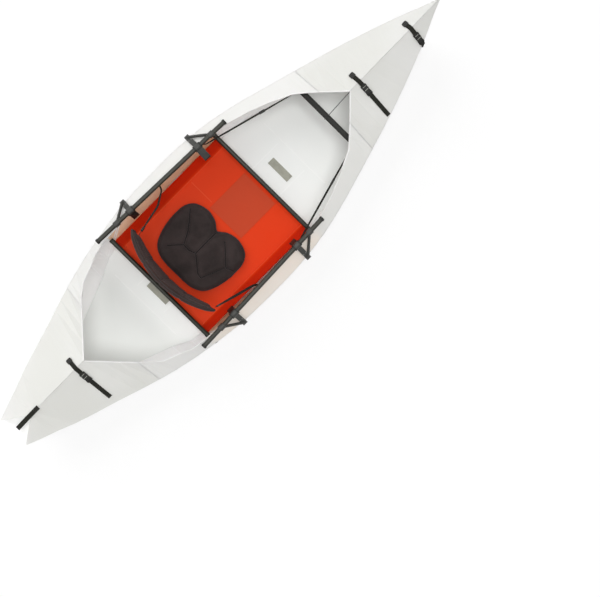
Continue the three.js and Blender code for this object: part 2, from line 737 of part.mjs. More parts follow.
for (const [sideName, side] of Object.entries(sides)) {
  addPiece(`rail_tube_${sideName}`, onSide(railTube(), side), blackTube);
  for (const [endName, share] of Object.entries(bracketShares)) {
    const x = share * hullLength;
    const direction = endName === "rear" ? -1 : 1;
    const open = side === port && endName === "front" ? latchOpenAngle : latchRestAngle;
    const tail = `${sideName}_${endName}`;
    addPiece(`rail_cap_${tail}`, onSide(railCap(direction), side), blackMoulding);
    addPiece(`bracket_${tail}`, onSide(bracket(x, direction), side), blackMoulding);
    addPiece(`foot_bolt_${tail}`, onSide(footBolt(x), side), boltSteel);
    addPiece(`latch_${tail}`, onSide(latch(x, open), side), blackMoulding);
  }
}

// Seat pad: a crowned cushion on the floorboard with sewn channels
const padLength = 338;
const padWidth = 423;
const padCentreX = -190;
const padThickness = 38;
const padLift = 0.5;
const padAround = 56;
const channelDepth = 5;
const channelHalf = 14;
const padHalfShares = [
  [-0.5, 0], [-0.486, 0.227], [-0.401, 0.375], [-0.246, 0.449], [-0.035, 0.491], [0.176, 0.5],
  [0.331, 0.477], [0.444, 0.398], [0.5, 0.25], [0.472, 0.114], [0.408, 0.034], [0.38, 0],
];
// Rings from the widest line: how far out as a share of the outline, how high as a share of the thickness
const padTopShares = [
  [1, 0.45], [0.99, 0.62], [0.965, 0.77], [0.92, 0.87], [0.84, 0.93], [0.72, 0.97], [0.58, 0.99],
  [0.44, 1], [0.3, 1], [0.15, 1],
];
const padBottomShares = [[0.985, 0.25], [0.95, 0.1], [0.88, 0.02], [0.6, 0]];
const padSeamShares = [
  [[-0.46, 0], [0.36, 0]],
  [[-0.2, 0.27], [0.08, 0.27], [0.32, 0.39]],
  [[-0.2, -0.27], [0.08, -0.27], [0.32, -0.39]],
];

function seamDistance(point, seams) {
  let nearest = Infinity;
  for (const seam of seams) {
    for (let i = 0; i + 1 < seam.length; i += 1) {
      const run = seam[i + 1].clone().sub(seam[i]);
      const t = THREE.MathUtils.clamp(point.clone().sub(seam[i]).dot(run) / run.lengthSq(), 0, 1);
      nearest = Math.min(nearest, point.distanceTo(seam[i].clone().addScaledVector(run, t)));
    }
  }
  return nearest;
}

function seatPad() {
  const other = padHalfShares.slice(1, -1).reverse().map(([along, across]) => [along, -across]);
  const outline = [...padHalfShares, ...other].map(([along, across]) =>
    new THREE.Vector3(along * padLength, across * padWidth, 0));
  const around = new THREE.CatmullRomCurve3(outline, true).getSpacedPoints(padAround).slice(0, -1);
  const seams = padSeamShares.map((seam) =>
    seam.map(([along, across]) => flat(along * padLength, across * padWidth)));
  const rings = [...padBottomShares].reverse().concat(padTopShares);
  const bottomRings = padBottomShares.length;
  const points = [];
  rings.forEach(([out, up], row) => {
    for (const place of around) {
      const at = flat(place.x * out, place.y * out);
      const groove = channelDepth * Math.exp(-((seamDistance(at, seams) / channelHalf) ** 2));
      const sewn = row > bottomRings + 1 ? groove : 0;
      points.push(new THREE.Vector3(at.x, at.y, up * padThickness - sewn));
    }
  });
  const triangles = [];
  for (let row = 0; row + 1 < rings.length; row += 1) {
    for (let i = 0; i < padAround; i += 1) {
      const a = row * padAround + i;
      const b = row * padAround + (i + 1) % padAround;
      triangles.push([a, b, b + padAround], [a, b + padAround, a + padAround]);
    }
  }
  const last = (rings.length - 1) * padAround;
  points.push(new THREE.Vector3(0, 0, 0), new THREE.Vector3(0, 0, padThickness - channelDepth));
  const [under, over] = [points.length - 2, points.length - 1];
  for (let i = 0; i < padAround; i += 1) {
    const next = (i + 1) % padAround;
    triangles.push([under, next, i], [over, last + i, last + next]);
  }
  return closedBody(points, triangles).translate(padCentreX, 0, boardTop + padLift);
}
addPiece("seat_pad", seatPad(), seatFabric);

// Backrest: an upright curved pad with swept-up wings
const backHalfWidth = 267;
const backX = -400;
const backSweep = 75;
const backThickness = 24;
const backEndThickness = 10;
const backTop = 388;
const backTopFall = 80;
const backBottom = 10.8;
const backBottomRise = 160;
const backBottomPower = 1.6;
const backEndShare = 0.8;
const backEndClose = 0.75;
const backColumns = 33;
const backRows = 6;
const backChannelShares = [-0.42, 0, 0.42];
const backChannelDepth = 3.5;
const backChannelHalf = 11;

const backSweepAt = (share) => backX + backSweep * share ** 2;

function backCloseAt(share) {
  const past = Math.max(0, Math.abs(share) - backEndShare) / (1 - backEndShare);
  return Math.sqrt(1 - backEndClose * past ** 2);
}

const backThicknessAt = (share) =>
  THREE.MathUtils.lerp(backEndThickness, backThickness, backCloseAt(share) * 2 - 1);

// One closed slice of the backrest, as a loop of points in its X and Z
function backSlice(share) {
  const low = backBottom + backBottomRise * Math.abs(share) ** backBottomPower;
  const high = backTop - backTopFall * share ** 2;
  const radius = backThicknessAt(share) / 2;
  const middle = (low + high) / 2;
  const half = (high - low) / 2 * backCloseAt(share) - radius;
  const across = share * backHalfWidth;
  const near = Math.min(...backChannelShares.map((seam) => Math.abs(share - seam) * backHalfWidth));
  const groove = backChannelDepth * Math.exp(-((near / backChannelHalf) ** 2));
  const loop = [];
  for (const end of [1, -1]) {
    for (let step = 1; step <= 5; step += 1) {
      const angle = (step - 3) * Math.PI / 6 * end;
      const out = Math.sin(angle) * radius;
      loop.push(flat(out * end * end, middle + end * (half + Math.cos(angle) * radius)));
    }
    for (let row = 0; row <= backRows; row += 1) {
      const up = middle + end * half * (1 - 2 * row / backRows);
      const rim = row === 0 || row === backRows;
      loop.push(flat(end * (radius - (rim ? 0 : groove)), up));
    }
  }
  return loop.map((point) => new THREE.Vector3(backSweepAt(share) + point.x, across, point.y));
}

function backrest() {
  const loops = [];
  for (let column = 0; column < backColumns; column += 1) {
    loops.push(backSlice(column / (backColumns - 1) * 2 - 1));
  }
  return loft(loops);
}
addPiece("backrest", backrest(), seatFabric);

// Backrest straps: webbing on edge from each wing to an anchor plate on the hull's side. A strap leaves
// the wing at shares of the backrest's half width and of its top; the places after it are shares of the
// run to the anchor, and of the deck edge's half breadth and height there
const webWidth = 25;
const webThickness = 2;
const anchorThickness = 3;
const anchorWidth = 34;
const anchorRise = 30;
const anchorStudLength = 17;
const anchorStudRadius = 4.5;
const strapEndOff = 13;
const backAnchorX = -92;
const backAnchorShare = 0.34402;
const backAnchorHeight = backAnchorShare * bowHeight;
const wingGap = 3.25;
const backStrapShares = {
  port: { wing: [0.8577, 0.5515], places: [[0.646, 0.7874, 0.9617], [0.9115, 0.9161, 0.8108]] },
  starboard: { wing: [0.9438, 0.5464], places: [[0.4194, 0.8353, 0.9609], [0.8802, 0.9221, 0.8107]] },
};
const lockRun = 0.2;
const lockLength = 20;
const lockWall = 4;
const lockThickness = 9;

const wallLevel = (x, up, off) => solidPoint(x, port, wallPoint(x, up, off));

// A plate on the hull's side with a stud that holds the end of a strap
function wallAnchor(x, up) {
  const plate = new THREE.BoxGeometry(anchorWidth, anchorRise, anchorThickness);
  const stud = new THREE.CylinderGeometry(anchorStudRadius, anchorStudRadius, anchorStudLength, 16);
  stud.rotateX(Math.PI / 2).translate(0, 0, anchorStudLength / 2);
  const frame = wallFrame(x, up, surfaceGap + anchorThickness / 2);
  return bodiesAsOne([plate, stud]).applyMatrix4(frame);
}

// A point by shares of the deck edge's half breadth and height
function underDeckEdge(x, outShare, upShare) {
  const edge = deckEdgeAt(x);
  return new THREE.Vector3(x, edge.x * outShare, edge.y * upShare);
}

function backStrapPoints({ wing: [outShare, topShare], places }) {
  const startX = backSweepAt(outShare) + backThicknessAt(outShare) / 2 + wingGap;
  const start = new THREE.Vector3(startX, outShare * backHalfWidth, topShare * backTop);
  return [start, ...places.map(([run, out, up]) =>
    underDeckEdge(THREE.MathUtils.lerp(startX, backAnchorX, run), out, up))];
}

function backStrap(route) {
  const points = [...route, wallLevel(backAnchorX, backAnchorHeight, strapEndOff)];
  const web = ribbon(points, axisZ, webWidth, webThickness);
  return toGeometry(joinAll([web, wallAnchor(backAnchorX, backAnchorHeight)]));
}

// A webbing adjuster: a frame round a strap at a place along its first run
function adjuster(from, to, run, width, length) {
  const frame = (grow, long, thick) => new THREE.BoxGeometry(long, thick, width + grow * 2);
  const outer = toSolid(frame(lockWall, length, lockThickness));
  const slot = toSolid(frame(surfaceGap, length * 2, webThickness + surfaceGap * 2));
  const along = to.clone().sub(from).normalize();
  const up = axisZ.clone().addScaledVector(along, -axisZ.dot(along)).normalize();
  const across = up.clone().cross(along);
  const turn = new THREE.Matrix4().makeBasis(along, across, up);
  const made = toGeometry(outer.subtract(slot)).applyMatrix4(turn);
  return made.translate(...from.clone().lerp(to, run).toArray());
}

for (const [sideName, side] of Object.entries(sides)) {
  const route = backStrapPoints(backStrapShares[sideName]);
  addPiece(`backrest_strap_${sideName}`, onSide(backStrap(route), side), blackWebbing);
  const [from, to] = route;
  const lock = adjuster(from, to, lockRun, webWidth, lockLength);
  addPiece(`strap_adjuster_${sideName}`, onSide(lock, side), blackMoulding);
}

// Footrest: a padded bar hung on two straps, held forward by a tether
const footX = 667;
const footHeightShare = 0.4956;
const footHeight = footHeightShare * bowHeight;
const footRadius = 14;
const footHalfLength = 190;
const footEndRound = 5;
const footLoopWall = 2;
const footLoopGap = 0.4;
const footLoopY = 180;
const footStrapWidth = 12;
const footStrapThickness = 2.5;
const footAnchorX = 152;
const footAnchorShare = 0.37318;
const footAnchorHeight = footAnchorShare * bowHeight;
const footBendRun = 26;
const footBendShares = [0.957, 0.8698];
const footBuckleRun = 0.62;
const footBuckleSize = [30, 12, 20];
const tetherRadius = 1.6;
const tetherKnotRadius = 5;
const tetherKnotX = 816;
const tetherKnotDrop = 14;
const tetherLoopLength = 6;

const footTurned = (profile) =>
  new THREE.LatheGeometry(profile.map(([r, h]) => flat(r, h)), 24).translate(footX, 0, footHeight);

function footBar() {
  const end = footHalfLength;
  const round = footEndRound;
  return footTurned([[0, -end], [footRadius - round, -end], [footRadius, round - end],
    [footRadius, end - round], [footRadius - round, end], [0, end]]);
}
addPiece("footrest_bar", footBar(), footFoam);

function footLoop(centreY, width) {
  const inner = footRadius + footLoopGap;
  const outer = inner + footLoopWall;
  const [low, high] = [centreY - width / 2, centreY + width / 2];
  return footTurned([[inner, low], [outer, low], [outer, high], [inner, high], [inner, low]]);
}

function footStrap() {
  const bend = underDeckEdge(footAnchorX + footBendRun, ...footBendShares);
  const grip = footRadius + footLoopGap + footLoopWall / 2;
  const end = new THREE.Vector3(footX - grip, footLoopY, footHeight);
  const points = [wallLevel(footAnchorX, footAnchorHeight, strapEndOff), bend, end];
  const web = ribbon(points, axisZ, footStrapWidth, footStrapThickness);
  const along = end.clone().sub(bend).normalize();
  const turn = new THREE.Matrix4().makeBasis(along, axisZ.clone().cross(along), axisZ);
  const buckle = new THREE.BoxGeometry(...footBuckleSize).applyMatrix4(turn)
    .translate(...bend.clone().lerp(end, footBuckleRun).toArray());
  const anchor = wallAnchor(footAnchorX, footAnchorHeight);
  return toGeometry(joinAll([web, anchor, buckle, footLoop(footLoopY, footStrapWidth)]));
}
for (const [sideName, side] of Object.entries(sides)) {
  addPiece(`footrest_strap_${sideName}`, onSide(footStrap(), side), blackWebbing);
}

function tether() {
  const grip = footRadius + footLoopGap + footLoopWall / 2;
  const start = new THREE.Vector3(footX + grip, 0, footHeight);
  const knot = new THREE.Vector3(tetherKnotX, 0, deckEdgeAt(tetherKnotX).y - tetherKnotDrop);
  const ball = new THREE.SphereGeometry(tetherKnotRadius, 12, 8).translate(...knot.toArray());
  const cord = rod(start, knot, tetherRadius, 8);
  return toGeometry(joinAll([cord, ball, footLoop(0, tetherLoopLength)]));
}
addPiece("footrest_tether", tether(), blackWebbing);

// Deck straps: places along the deck are measured from the ridge, towards starboard
const strapLift = 0.8;
const strapAnchorLength = 26;
const strapAnchorWidth = 27;
const strapAnchorHeight = 3.5;
const rivetRadius = 6;
const rivetHeight = 2;
const buckleHeight = 10;
const buckleLevel = 5;
const maleBase = 17;
const maleHeight = 8;
const tongueLength = 22;
const tongueWidth = 15;
const tongueHeight = 3.5;
const femaleLength = 41;
const socketGap = 0.5;
const buckleLength = maleBase + socketGap + femaleLength;
const pocketDepth = 8;
const webReach = 6;
const pocketGap = 0.5;
const strapRise = 12;
// A point over a deck, from the ridge by a distance down the slope and off the sheet by a height
function overDeck(x, side, distance, height) {
  const cut = sectionAt(x);
  const run = cut.gunwale.clone().sub(cut.edge).normalize();
  const place = cut.edge.clone().addScaledVector(run, distance);
  return solidPoint(x, side, place.addScaledVector(cut.deckNormal, -height));
}

function overRidge(x, height) {
  const cut = sectionAt(x);
  return new THREE.Vector3(x, 0, cut.edge.y - height / cut.deckNormal.y);
}

function overGunwale(x, height) {
  const cut = sectionAt(x);
  return solidPoint(x, starboard, foldInner(cut.gunwale, cut.sideNormal, cut.deckNormal, -height));
}

function overSide(x, distance, height) {
  const cut = sectionAt(x);
  const place = cut.gunwale.clone().lerp(cut.low, distance / cut.gunwale.distanceTo(cut.low));
  return solidPoint(x, starboard, place.addScaledVector(cut.sideNormal, -height));
}

// Webbing that follows the hull: each place gives a point for any x and height off the sheet
function webAlong(x, places) {
  return loft(places.map(({ at, height }) => {
    const [back, front] = [x - deckWebWidth / 2, x + deckWebWidth / 2];
    const [low, high] = [height - webThickness / 2, height + webThickness / 2];
    return [at(back, low), at(front, low), at(front, high), at(back, high)];
  }));
}

const onDeck = (distance, height, side = starboard) =>
  ({ at: (x, off) => overDeck(x, side, distance, off), height });

// A place on the level plane of a strap's buckle, from the male half's end
function inBuckle(strap, run) {
  const frame = deckFrame(strap, strap.buckle, strapLift + buckleLevel, buckleLength);
  return { at: (x, off) => new THREE.Vector3(run, x - strap.x, off).applyMatrix4(frame), height: 0 };
}

// A frame over the starboard deck: X down the slope, Z off the sheet at the middle of a length
function deckFrame(strap, distance, height, length = 0) {
  const at = (x, run) => overDeck(x, starboard, run, height);
  const place = at(strap.x, distance);
  const down = at(strap.x, distance + frameSpan).sub(place);
  const [back, front] = [strap.x - frameSpan, strap.x + frameSpan];
  const forward = at(front, distance + length / 2).sub(at(back, distance + length / 2));
  return surfaceFrame(place, down, forward, axisZ);
}

// A strap's place along the hull and its distances down the slope and the side
function deckStrap({ along, anchor, buckleEnd, tail, hang }) {
  const x = along * hullLength;
  const cut = sectionAt(x);
  const slope = cut.edge.distanceTo(cut.gunwale);
  const drop = cut.gunwale.distanceTo(cut.low);
  const buckle = buckleEnd * slope - buckleLength;
  return { x, anchor: anchor * slope, buckle, tail: tail * slope, hang: hang * drop };
}

function block(start, length, width, height) {
  return new THREE.BoxGeometry(length, width, height).translate(start + length / 2, 0, 0);
}

function maleHalf(strap) {
  const base = toSolid(block(0, maleBase, buckleWidth, maleHeight));
  const tongue = toSolid(block(maleBase - 1, tongueLength + 1, tongueWidth, tongueHeight));
  const pocket = block(-1, pocketDepth + 1, deckWebWidth + pocketGap * 2, webThickness + pocketGap * 2);
  const made = toGeometry(base.add(tongue).subtract(toSolid(pocket)));
  return made.applyMatrix4(deckFrame(strap, strap.buckle, strapLift + buckleLevel, buckleLength));
}

function femaleHalf(strap) {
  const body = toSolid(block(0, femaleLength, buckleWidth, buckleHeight));
  const socket = block(-1, tongueLength + 2, tongueWidth + socketGap * 2, tongueHeight + socketGap * 2);
  const pocket = block(femaleLength - pocketDepth, pocketDepth + 1, deckWebWidth + pocketGap * 2,
    webThickness + pocketGap * 2);
  const made = toGeometry(body.subtract(toSolid(socket)).subtract(toSolid(pocket)));
  made.translate(maleBase + socketGap, 0, 0);
  return made.applyMatrix4(deckFrame(strap, strap.buckle, strapLift + buckleLevel, buckleLength));
}

// Short webbing from its anchor on the port deck, over the ridge, into the male half
function portWeb(strap) {
  const height = strapLift + webThickness / 2;
  const rise = Math.max(strap.buckle - strapRise, strapRise / 2);
  const web = webAlong(strap.x, [onDeck(strap.anchor, height, port), { at: overRidge, height },
    onDeck(rise, height), inBuckle(strap, 0), inBuckle(strap, webReach)]);
  const plate = block(-strapAnchorLength / 2, strapAnchorLength, strapAnchorWidth, strapAnchorHeight);
  const rivet = new THREE.CylinderGeometry(rivetRadius, rivetRadius, rivetHeight + 1, 20)
    .rotateX(Math.PI / 2).translate(0, 0, (strapAnchorHeight + rivetHeight) / 2);
  const frame = deckFrame(strap, strap.anchor, strapLift + strapAnchorHeight / 2);
  return bodiesAsOne([web, mirrored(bodiesAsOne([plate, rivet]).applyMatrix4(frame))]);
}

function webTail(strap) {
  const start = strap.buckle + buckleLength;
  const height = strapLift + webThickness / 2;
  const level = strapLift + buckleLevel;
  const places = [inBuckle(strap, buckleLength - webReach), inBuckle(strap, buckleLength)];
  if (strap.hang) {
    const atEnd = (x, off) => overSide(x, strap.hang, off);
    places.push({ at: overGunwale, height: level }, { at: atEnd, height: height + foldGap });
  } else {
    places.push(onDeck(start + strapRise, height), onDeck(strap.tail, height));
  }
  return webAlong(strap.x, places);
}

for (const [name, shares] of Object.entries(deckStrapShares)) {
  const strap = deckStrap(shares);
  addPiece(`${name}_web_port`, portWeb(strap), blackWebbing);
  addPiece(`${name}_buckle_male`, maleHalf(strap), blackMoulding);
  addPiece(`${name}_buckle_female`, femaleHalf(strap), blackMoulding);
  addPiece(`${name}_web_tail`, webTail(strap), blackWebbing);
}

// The stern end strap runs down the ridge and over the notch
const endStrapWidth = 22;
const endStrapShares = { start: -0.43966, bend: -0.46992, end: -0.4922, height: 0.67347 };

function sternEndStrap() {
  const height = strapLift + webThickness / 2;
  const ridgeLevel = (x) => deckEdgeAt(x).y + height;
  const { start, bend, end, height: endHeight } = endStrapShares;
  const points = [new THREE.Vector3(start * hullLength, 0, ridgeLevel(start * hullLength)),
    new THREE.Vector3(ridgeEnd, 0, ridgeLevel(ridgeEnd) + foldGap),
    new THREE.Vector3(bend * hullLength, 0, ridgeLevel(ridgeEnd) + foldGap),
    new THREE.Vector3(end * hullLength, 0, endHeight * bowHeight)];
  return ribbon(points, axisY, endStrapWidth, webThickness);
}
addPiece("stern_end_strap", sternEndStrap(), blackWebbing);

export default group;
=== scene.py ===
import json
import math

import bmesh
import bpy
import numpy as np
from mathutils import Matrix, Vector
from mathutils.bvhtree import BVHTree

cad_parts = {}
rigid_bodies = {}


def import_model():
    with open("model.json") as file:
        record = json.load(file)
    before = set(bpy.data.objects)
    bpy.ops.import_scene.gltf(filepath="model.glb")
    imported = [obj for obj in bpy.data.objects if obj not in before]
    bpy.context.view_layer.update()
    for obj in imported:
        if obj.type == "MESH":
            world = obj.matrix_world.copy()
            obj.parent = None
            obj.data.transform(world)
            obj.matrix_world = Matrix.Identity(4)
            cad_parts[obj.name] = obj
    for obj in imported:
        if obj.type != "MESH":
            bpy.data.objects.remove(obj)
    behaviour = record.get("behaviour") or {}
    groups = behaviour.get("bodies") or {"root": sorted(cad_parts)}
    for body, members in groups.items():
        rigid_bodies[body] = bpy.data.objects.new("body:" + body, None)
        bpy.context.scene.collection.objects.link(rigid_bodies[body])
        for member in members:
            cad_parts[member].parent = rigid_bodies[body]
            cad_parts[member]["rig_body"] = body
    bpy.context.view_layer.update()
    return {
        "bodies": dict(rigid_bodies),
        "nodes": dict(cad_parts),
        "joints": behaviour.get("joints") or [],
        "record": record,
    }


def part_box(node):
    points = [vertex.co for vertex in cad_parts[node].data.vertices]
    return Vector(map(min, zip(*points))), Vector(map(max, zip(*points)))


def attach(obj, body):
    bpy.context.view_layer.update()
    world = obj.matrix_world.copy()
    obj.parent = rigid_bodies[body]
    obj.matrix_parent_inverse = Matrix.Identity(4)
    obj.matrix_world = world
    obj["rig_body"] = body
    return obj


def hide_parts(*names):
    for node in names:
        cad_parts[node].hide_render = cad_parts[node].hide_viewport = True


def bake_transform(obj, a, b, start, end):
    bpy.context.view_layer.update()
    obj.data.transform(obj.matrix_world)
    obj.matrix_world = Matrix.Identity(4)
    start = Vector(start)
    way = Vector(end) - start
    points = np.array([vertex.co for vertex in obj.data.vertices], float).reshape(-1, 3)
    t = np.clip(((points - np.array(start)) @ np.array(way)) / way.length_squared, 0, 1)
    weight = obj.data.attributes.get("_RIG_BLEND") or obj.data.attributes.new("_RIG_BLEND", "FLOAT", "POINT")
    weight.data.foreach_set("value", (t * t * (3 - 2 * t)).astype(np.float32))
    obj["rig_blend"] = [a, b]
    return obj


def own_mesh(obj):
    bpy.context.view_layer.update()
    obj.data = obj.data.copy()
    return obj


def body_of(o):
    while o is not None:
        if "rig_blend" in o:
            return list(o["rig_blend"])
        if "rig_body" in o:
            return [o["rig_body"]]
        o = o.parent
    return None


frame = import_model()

# A folding kayak in its finished looks. Sizes are in millimetres here and become metres in the meshes.

nodes = frame["nodes"]
mm = 0.001
ends = ("port_rear", "port_front", "starboard_rear", "starboard_front")
sides = {"port": 1, "starboard": -1}
print("frame:", len(nodes), "nodes")


def bodyOf(node):
    return body_of(nodes[node])[0]


# Camera, lamps and floor

cameraView = {"place": (-0.0065, -0.3784, 5.216), "tilt": (-1.086, -0.903, -45.341), "focalPixels": 1088,
              "frameWidth": 600, "sensor": 36, "farthest": 100}
lampLook = {
    "sky": 0.44,
    "high": {"lean": -6, "strength": 0.42, "spread": 30},
    "low": {"lean": 55, "strength": 0.33, "spread": 50},
}
floorLook = {"half": 30.0, "colour": (0.9, 0.9, 0.9), "roughness": 0.9, "veil": 0.6, "glow": 1.06}


def addCamera():
    camera = bpy.data.objects.new("camera", bpy.data.cameras.new("camera"))
    camera.data.sensor_width = cameraView["sensor"]
    camera.data.sensor_fit = "HORIZONTAL"
    camera.data.lens = cameraView["focalPixels"] / cameraView["frameWidth"] * cameraView["sensor"]
    camera.data.clip_end = cameraView["farthest"]
    camera.location = cameraView["place"]
    camera.rotation_euler = [math.radians(turn) for turn in cameraView["tilt"]]
    bpy.context.scene.collection.objects.link(camera)
    bpy.context.scene.camera = camera


def addLamp(name, lean, strength, spread):
    lamp = bpy.data.objects.new(name, bpy.data.lights.new(name, "SUN"))
    lamp.data.energy = strength * math.pi
    lamp.data.angle = math.radians(spread)
    lamp.rotation_euler = (-math.radians(lean), 0, 0)
    bpy.context.scene.collection.objects.link(lamp)


bpy.context.scene.view_settings.view_transform = "Standard"
addCamera()
addLamp("high_lamp", **lampLook["high"])
addLamp("low_lamp", **lampLook["low"])


# Materials

def give(tree, socket, value):
    # A link from another node's output, or a plain value
    value = getattr(value, "socket", value)
    if isinstance(value, bpy.types.NodeSocket):
        tree.links.new(value, socket)
    else:
        socket.default_value = value


def addNode(tree, kind, settings=None, values=None, out=0):
    # A node with its settings made first, then its sockets
    node = tree.nodes.new(kind)
    for key, value in (settings or {}).items():
        setattr(node, key, value)
    for key, value in (values or {}).items():
        give(tree, node.inputs[key], value)
    return None if out is None else node.outputs[out]


class Signal:
    # A node's output that can stand in a sum
    def __init__(self, finish, socket):
        self.finish = finish
        self.socket = socket

    def maths(self, operation, first, second=0.0):
        return self.finish.add("ShaderNodeMath", {"operation": operation}, {0: first, 1: second})

    def __add__(self, other):
        return self.maths("ADD", self, other)

    def __sub__(self, other):
        return self.maths("SUBTRACT", self, other)

    def __mul__(self, other):
        return self.maths("MULTIPLY", self, other)

    def __truediv__(self, other):
        return self.maths("DIVIDE", self, other)

    def __pow__(self, other):
        return self.maths("POWER", self, other)

    def __radd__(self, other):
        return self.maths("ADD", other, self)

    def __rsub__(self, other):
        return self.maths("SUBTRACT", other, self)

    def __rmul__(self, other):
        return self.maths("MULTIPLY", other, self)

    def __rtruediv__(self, other):
        return self.maths("DIVIDE", other, self)

    def __neg__(self):
        return self.maths("MULTIPLY", self, -1.0)

    def __abs__(self):
        return self.maths("ABSOLUTE", self)

    def most(self, other):
        return self.maths("MAXIMUM", self, other)

    def wave(self, pitch):
        return self.maths("SINE", self * (2 * math.pi / pitch))

    def rise(self, start, end):
        # 0 before start, 1 past end, smooth between
        settings = {"interpolation_type": "SMOOTHSTEP"}
        return self.finish.add("ShaderNodeMapRange", settings, {0: self, 1: start, 2: end})

    def band(self, low, high, soft):
        return self.rise(low - soft, low + soft) * (1 - self.rise(high - soft, high + soft))


class Finish:
    # One procedural material while it is being built
    def __init__(self, name, roughness=0.5, metallic=0.0, **fixed):
        self.material = bpy.data.materials.new(name)
        self.material.use_nodes = True
        self.tree = self.material.node_tree
        self.shader = self.tree.nodes["Principled BSDF"]
        for title, value in {"Roughness": roughness, "Metallic": metallic, **fixed}.items():
            self.show(title.replace("_", " "), value)

    def show(self, name, value):
        give(self.tree, self.shader.inputs[name], value)

    def add(self, kind, settings=None, values=None, out=0):
        return Signal(self, addNode(self.tree, kind, settings, values, out))

    def parts(self, vector):
        node = self.add("ShaderNodeSeparateXYZ", values={0: vector}).socket.node
        return [Signal(self, part) for part in node.outputs]

    def place(self):
        # Object coordinates in millimetres
        return [part * 1000 for part in self.parts(self.add("ShaderNodeTexCoord", out="Object"))]

    def cloth(self):
        # The piece's own map, in millimetres along and across
        here = self.add("ShaderNodeUVMap", {"uv_map": "UVMap"})
        return [part * 1000 for part in self.parts(here)[:2]]

    def noise(self, size, detail=3.0, stretch=(1, 1, 1)):
        # Clouds about as wide as size, in millimetres
        here = self.add("ShaderNodeTexCoord", out="Object")
        spread = self.add("ShaderNodeMapping", values={"Vector": here, "Scale": stretch})
        values = {"Vector": spread, "Scale": 1000 / size, "Detail": detail}
        return self.add("ShaderNodeTexNoise", values=values, out="Fac")

    def mix(self, share, colourA, colourB):
        colours = [shade if isinstance(shade, Signal) else (*shade, 1) for shade in (colourA, colourB)]
        return self.add("ShaderNodeMix", {"data_type": "RGBA"}, {0: share, 6: colours[0], 7: colours[1]}, 2)

    def cells(self, perMetre):
        here = self.add("ShaderNodeTexCoord", out="Object")
        return self.add("ShaderNodeTexVoronoi", {"feature": "F1"}, {"Vector": here, "Scale": perMetre})

    def line(self, u, v, start, end, width):
        # 1 on a line between two places on a panel, 0 beyond its width
        run = Vector(end) - Vector(start)
        along = run.normalized()
        across = u * along[1] - v * along[0] - (start[0] * along[1] - start[1] * along[0])
        forward = u * along[0] + v * along[1] - (start[0] * along[0] + start[1] * along[1])
        past = (-forward).most(forward - run.length)
        return 1 - abs(across).most(past).rise(width * 0.25, width)

    def lines(self, u, v, pairs, width):
        # 1 on any of several lines, nothing where there are none
        total = None
        for start, end in pairs:
            near = self.line(u, v, start, end, width)
            total = near if total is None else total.most(near)
        return total

    def light(self, colour, strength):
        self.show("Emission Color", colour)
        self.show("Emission Strength", strength)

    def finished(self, colour, height=None, depth=1.0, roughness=None):
        self.show("Base Color", colour if isinstance(colour, Signal) else (*colour, 1))
        if roughness is not None:
            self.show("Roughness", roughness)
        if height is not None:
            self.show("Normal", self.add("ShaderNodeBump", values={"Height": height, "Distance": depth * mm}))
        return self.material


def seenByEye(tree):
    # 1 for the rays that show a background, 0 for the light on the object
    path = addNode(tree, "ShaderNodeLightPath").node
    total = path.outputs["Is Camera Ray"]
    for name in ("Is Glossy Ray", "Is Transmission Ray"):
        total = addNode(tree, "ShaderNodeMath", {"operation": "MAXIMUM"}, {0: total, 1: path.outputs[name]})
    return total


def addSky():
    world = bpy.data.worlds.new("sky")
    world.use_nodes = True
    bpy.context.scene.world = world
    tree = world.node_tree
    strength = addNode(tree, "ShaderNodeMapRange", values={"Value": seenByEye(tree), "To Min": lampLook["sky"]})
    backdrop = tree.nodes["Background"].inputs
    give(tree, backdrop["Color"], (1, 1, 1, 1))
    give(tree, backdrop["Strength"], strength)


def addFloor():
    half = floorLook["half"]
    corners = [(-half, -half, 0), (half, -half, 0), (half, half, 0), (-half, half, 0)]
    mesh = bpy.data.meshes.new("studio_floor")
    mesh.from_pydata(corners, [], [(0, 1, 2, 3)])
    floor = bpy.data.objects.new("studio_floor", mesh)
    finish = Finish("studio_floor", roughness=floorLook["roughness"], Specular_IOR_Level=0.0)
    mesh.materials.append(finish.finished(floorLook["colour"]))
    veil = Signal(finish, seenByEye(finish.tree)) * floorLook["veil"]
    light = finish.add("ShaderNodeEmission", values={"Strength": floorLook["glow"]})
    both = finish.add("ShaderNodeMixShader", values={0: veil, 1: finish.shader.outputs[0], 2: light})
    give(finish.tree, finish.tree.nodes["Material Output"].inputs["Surface"], both)
    bpy.context.scene.collection.objects.link(floor)


addSky()
addFloor()
print("studio: camera, lamps, floor")

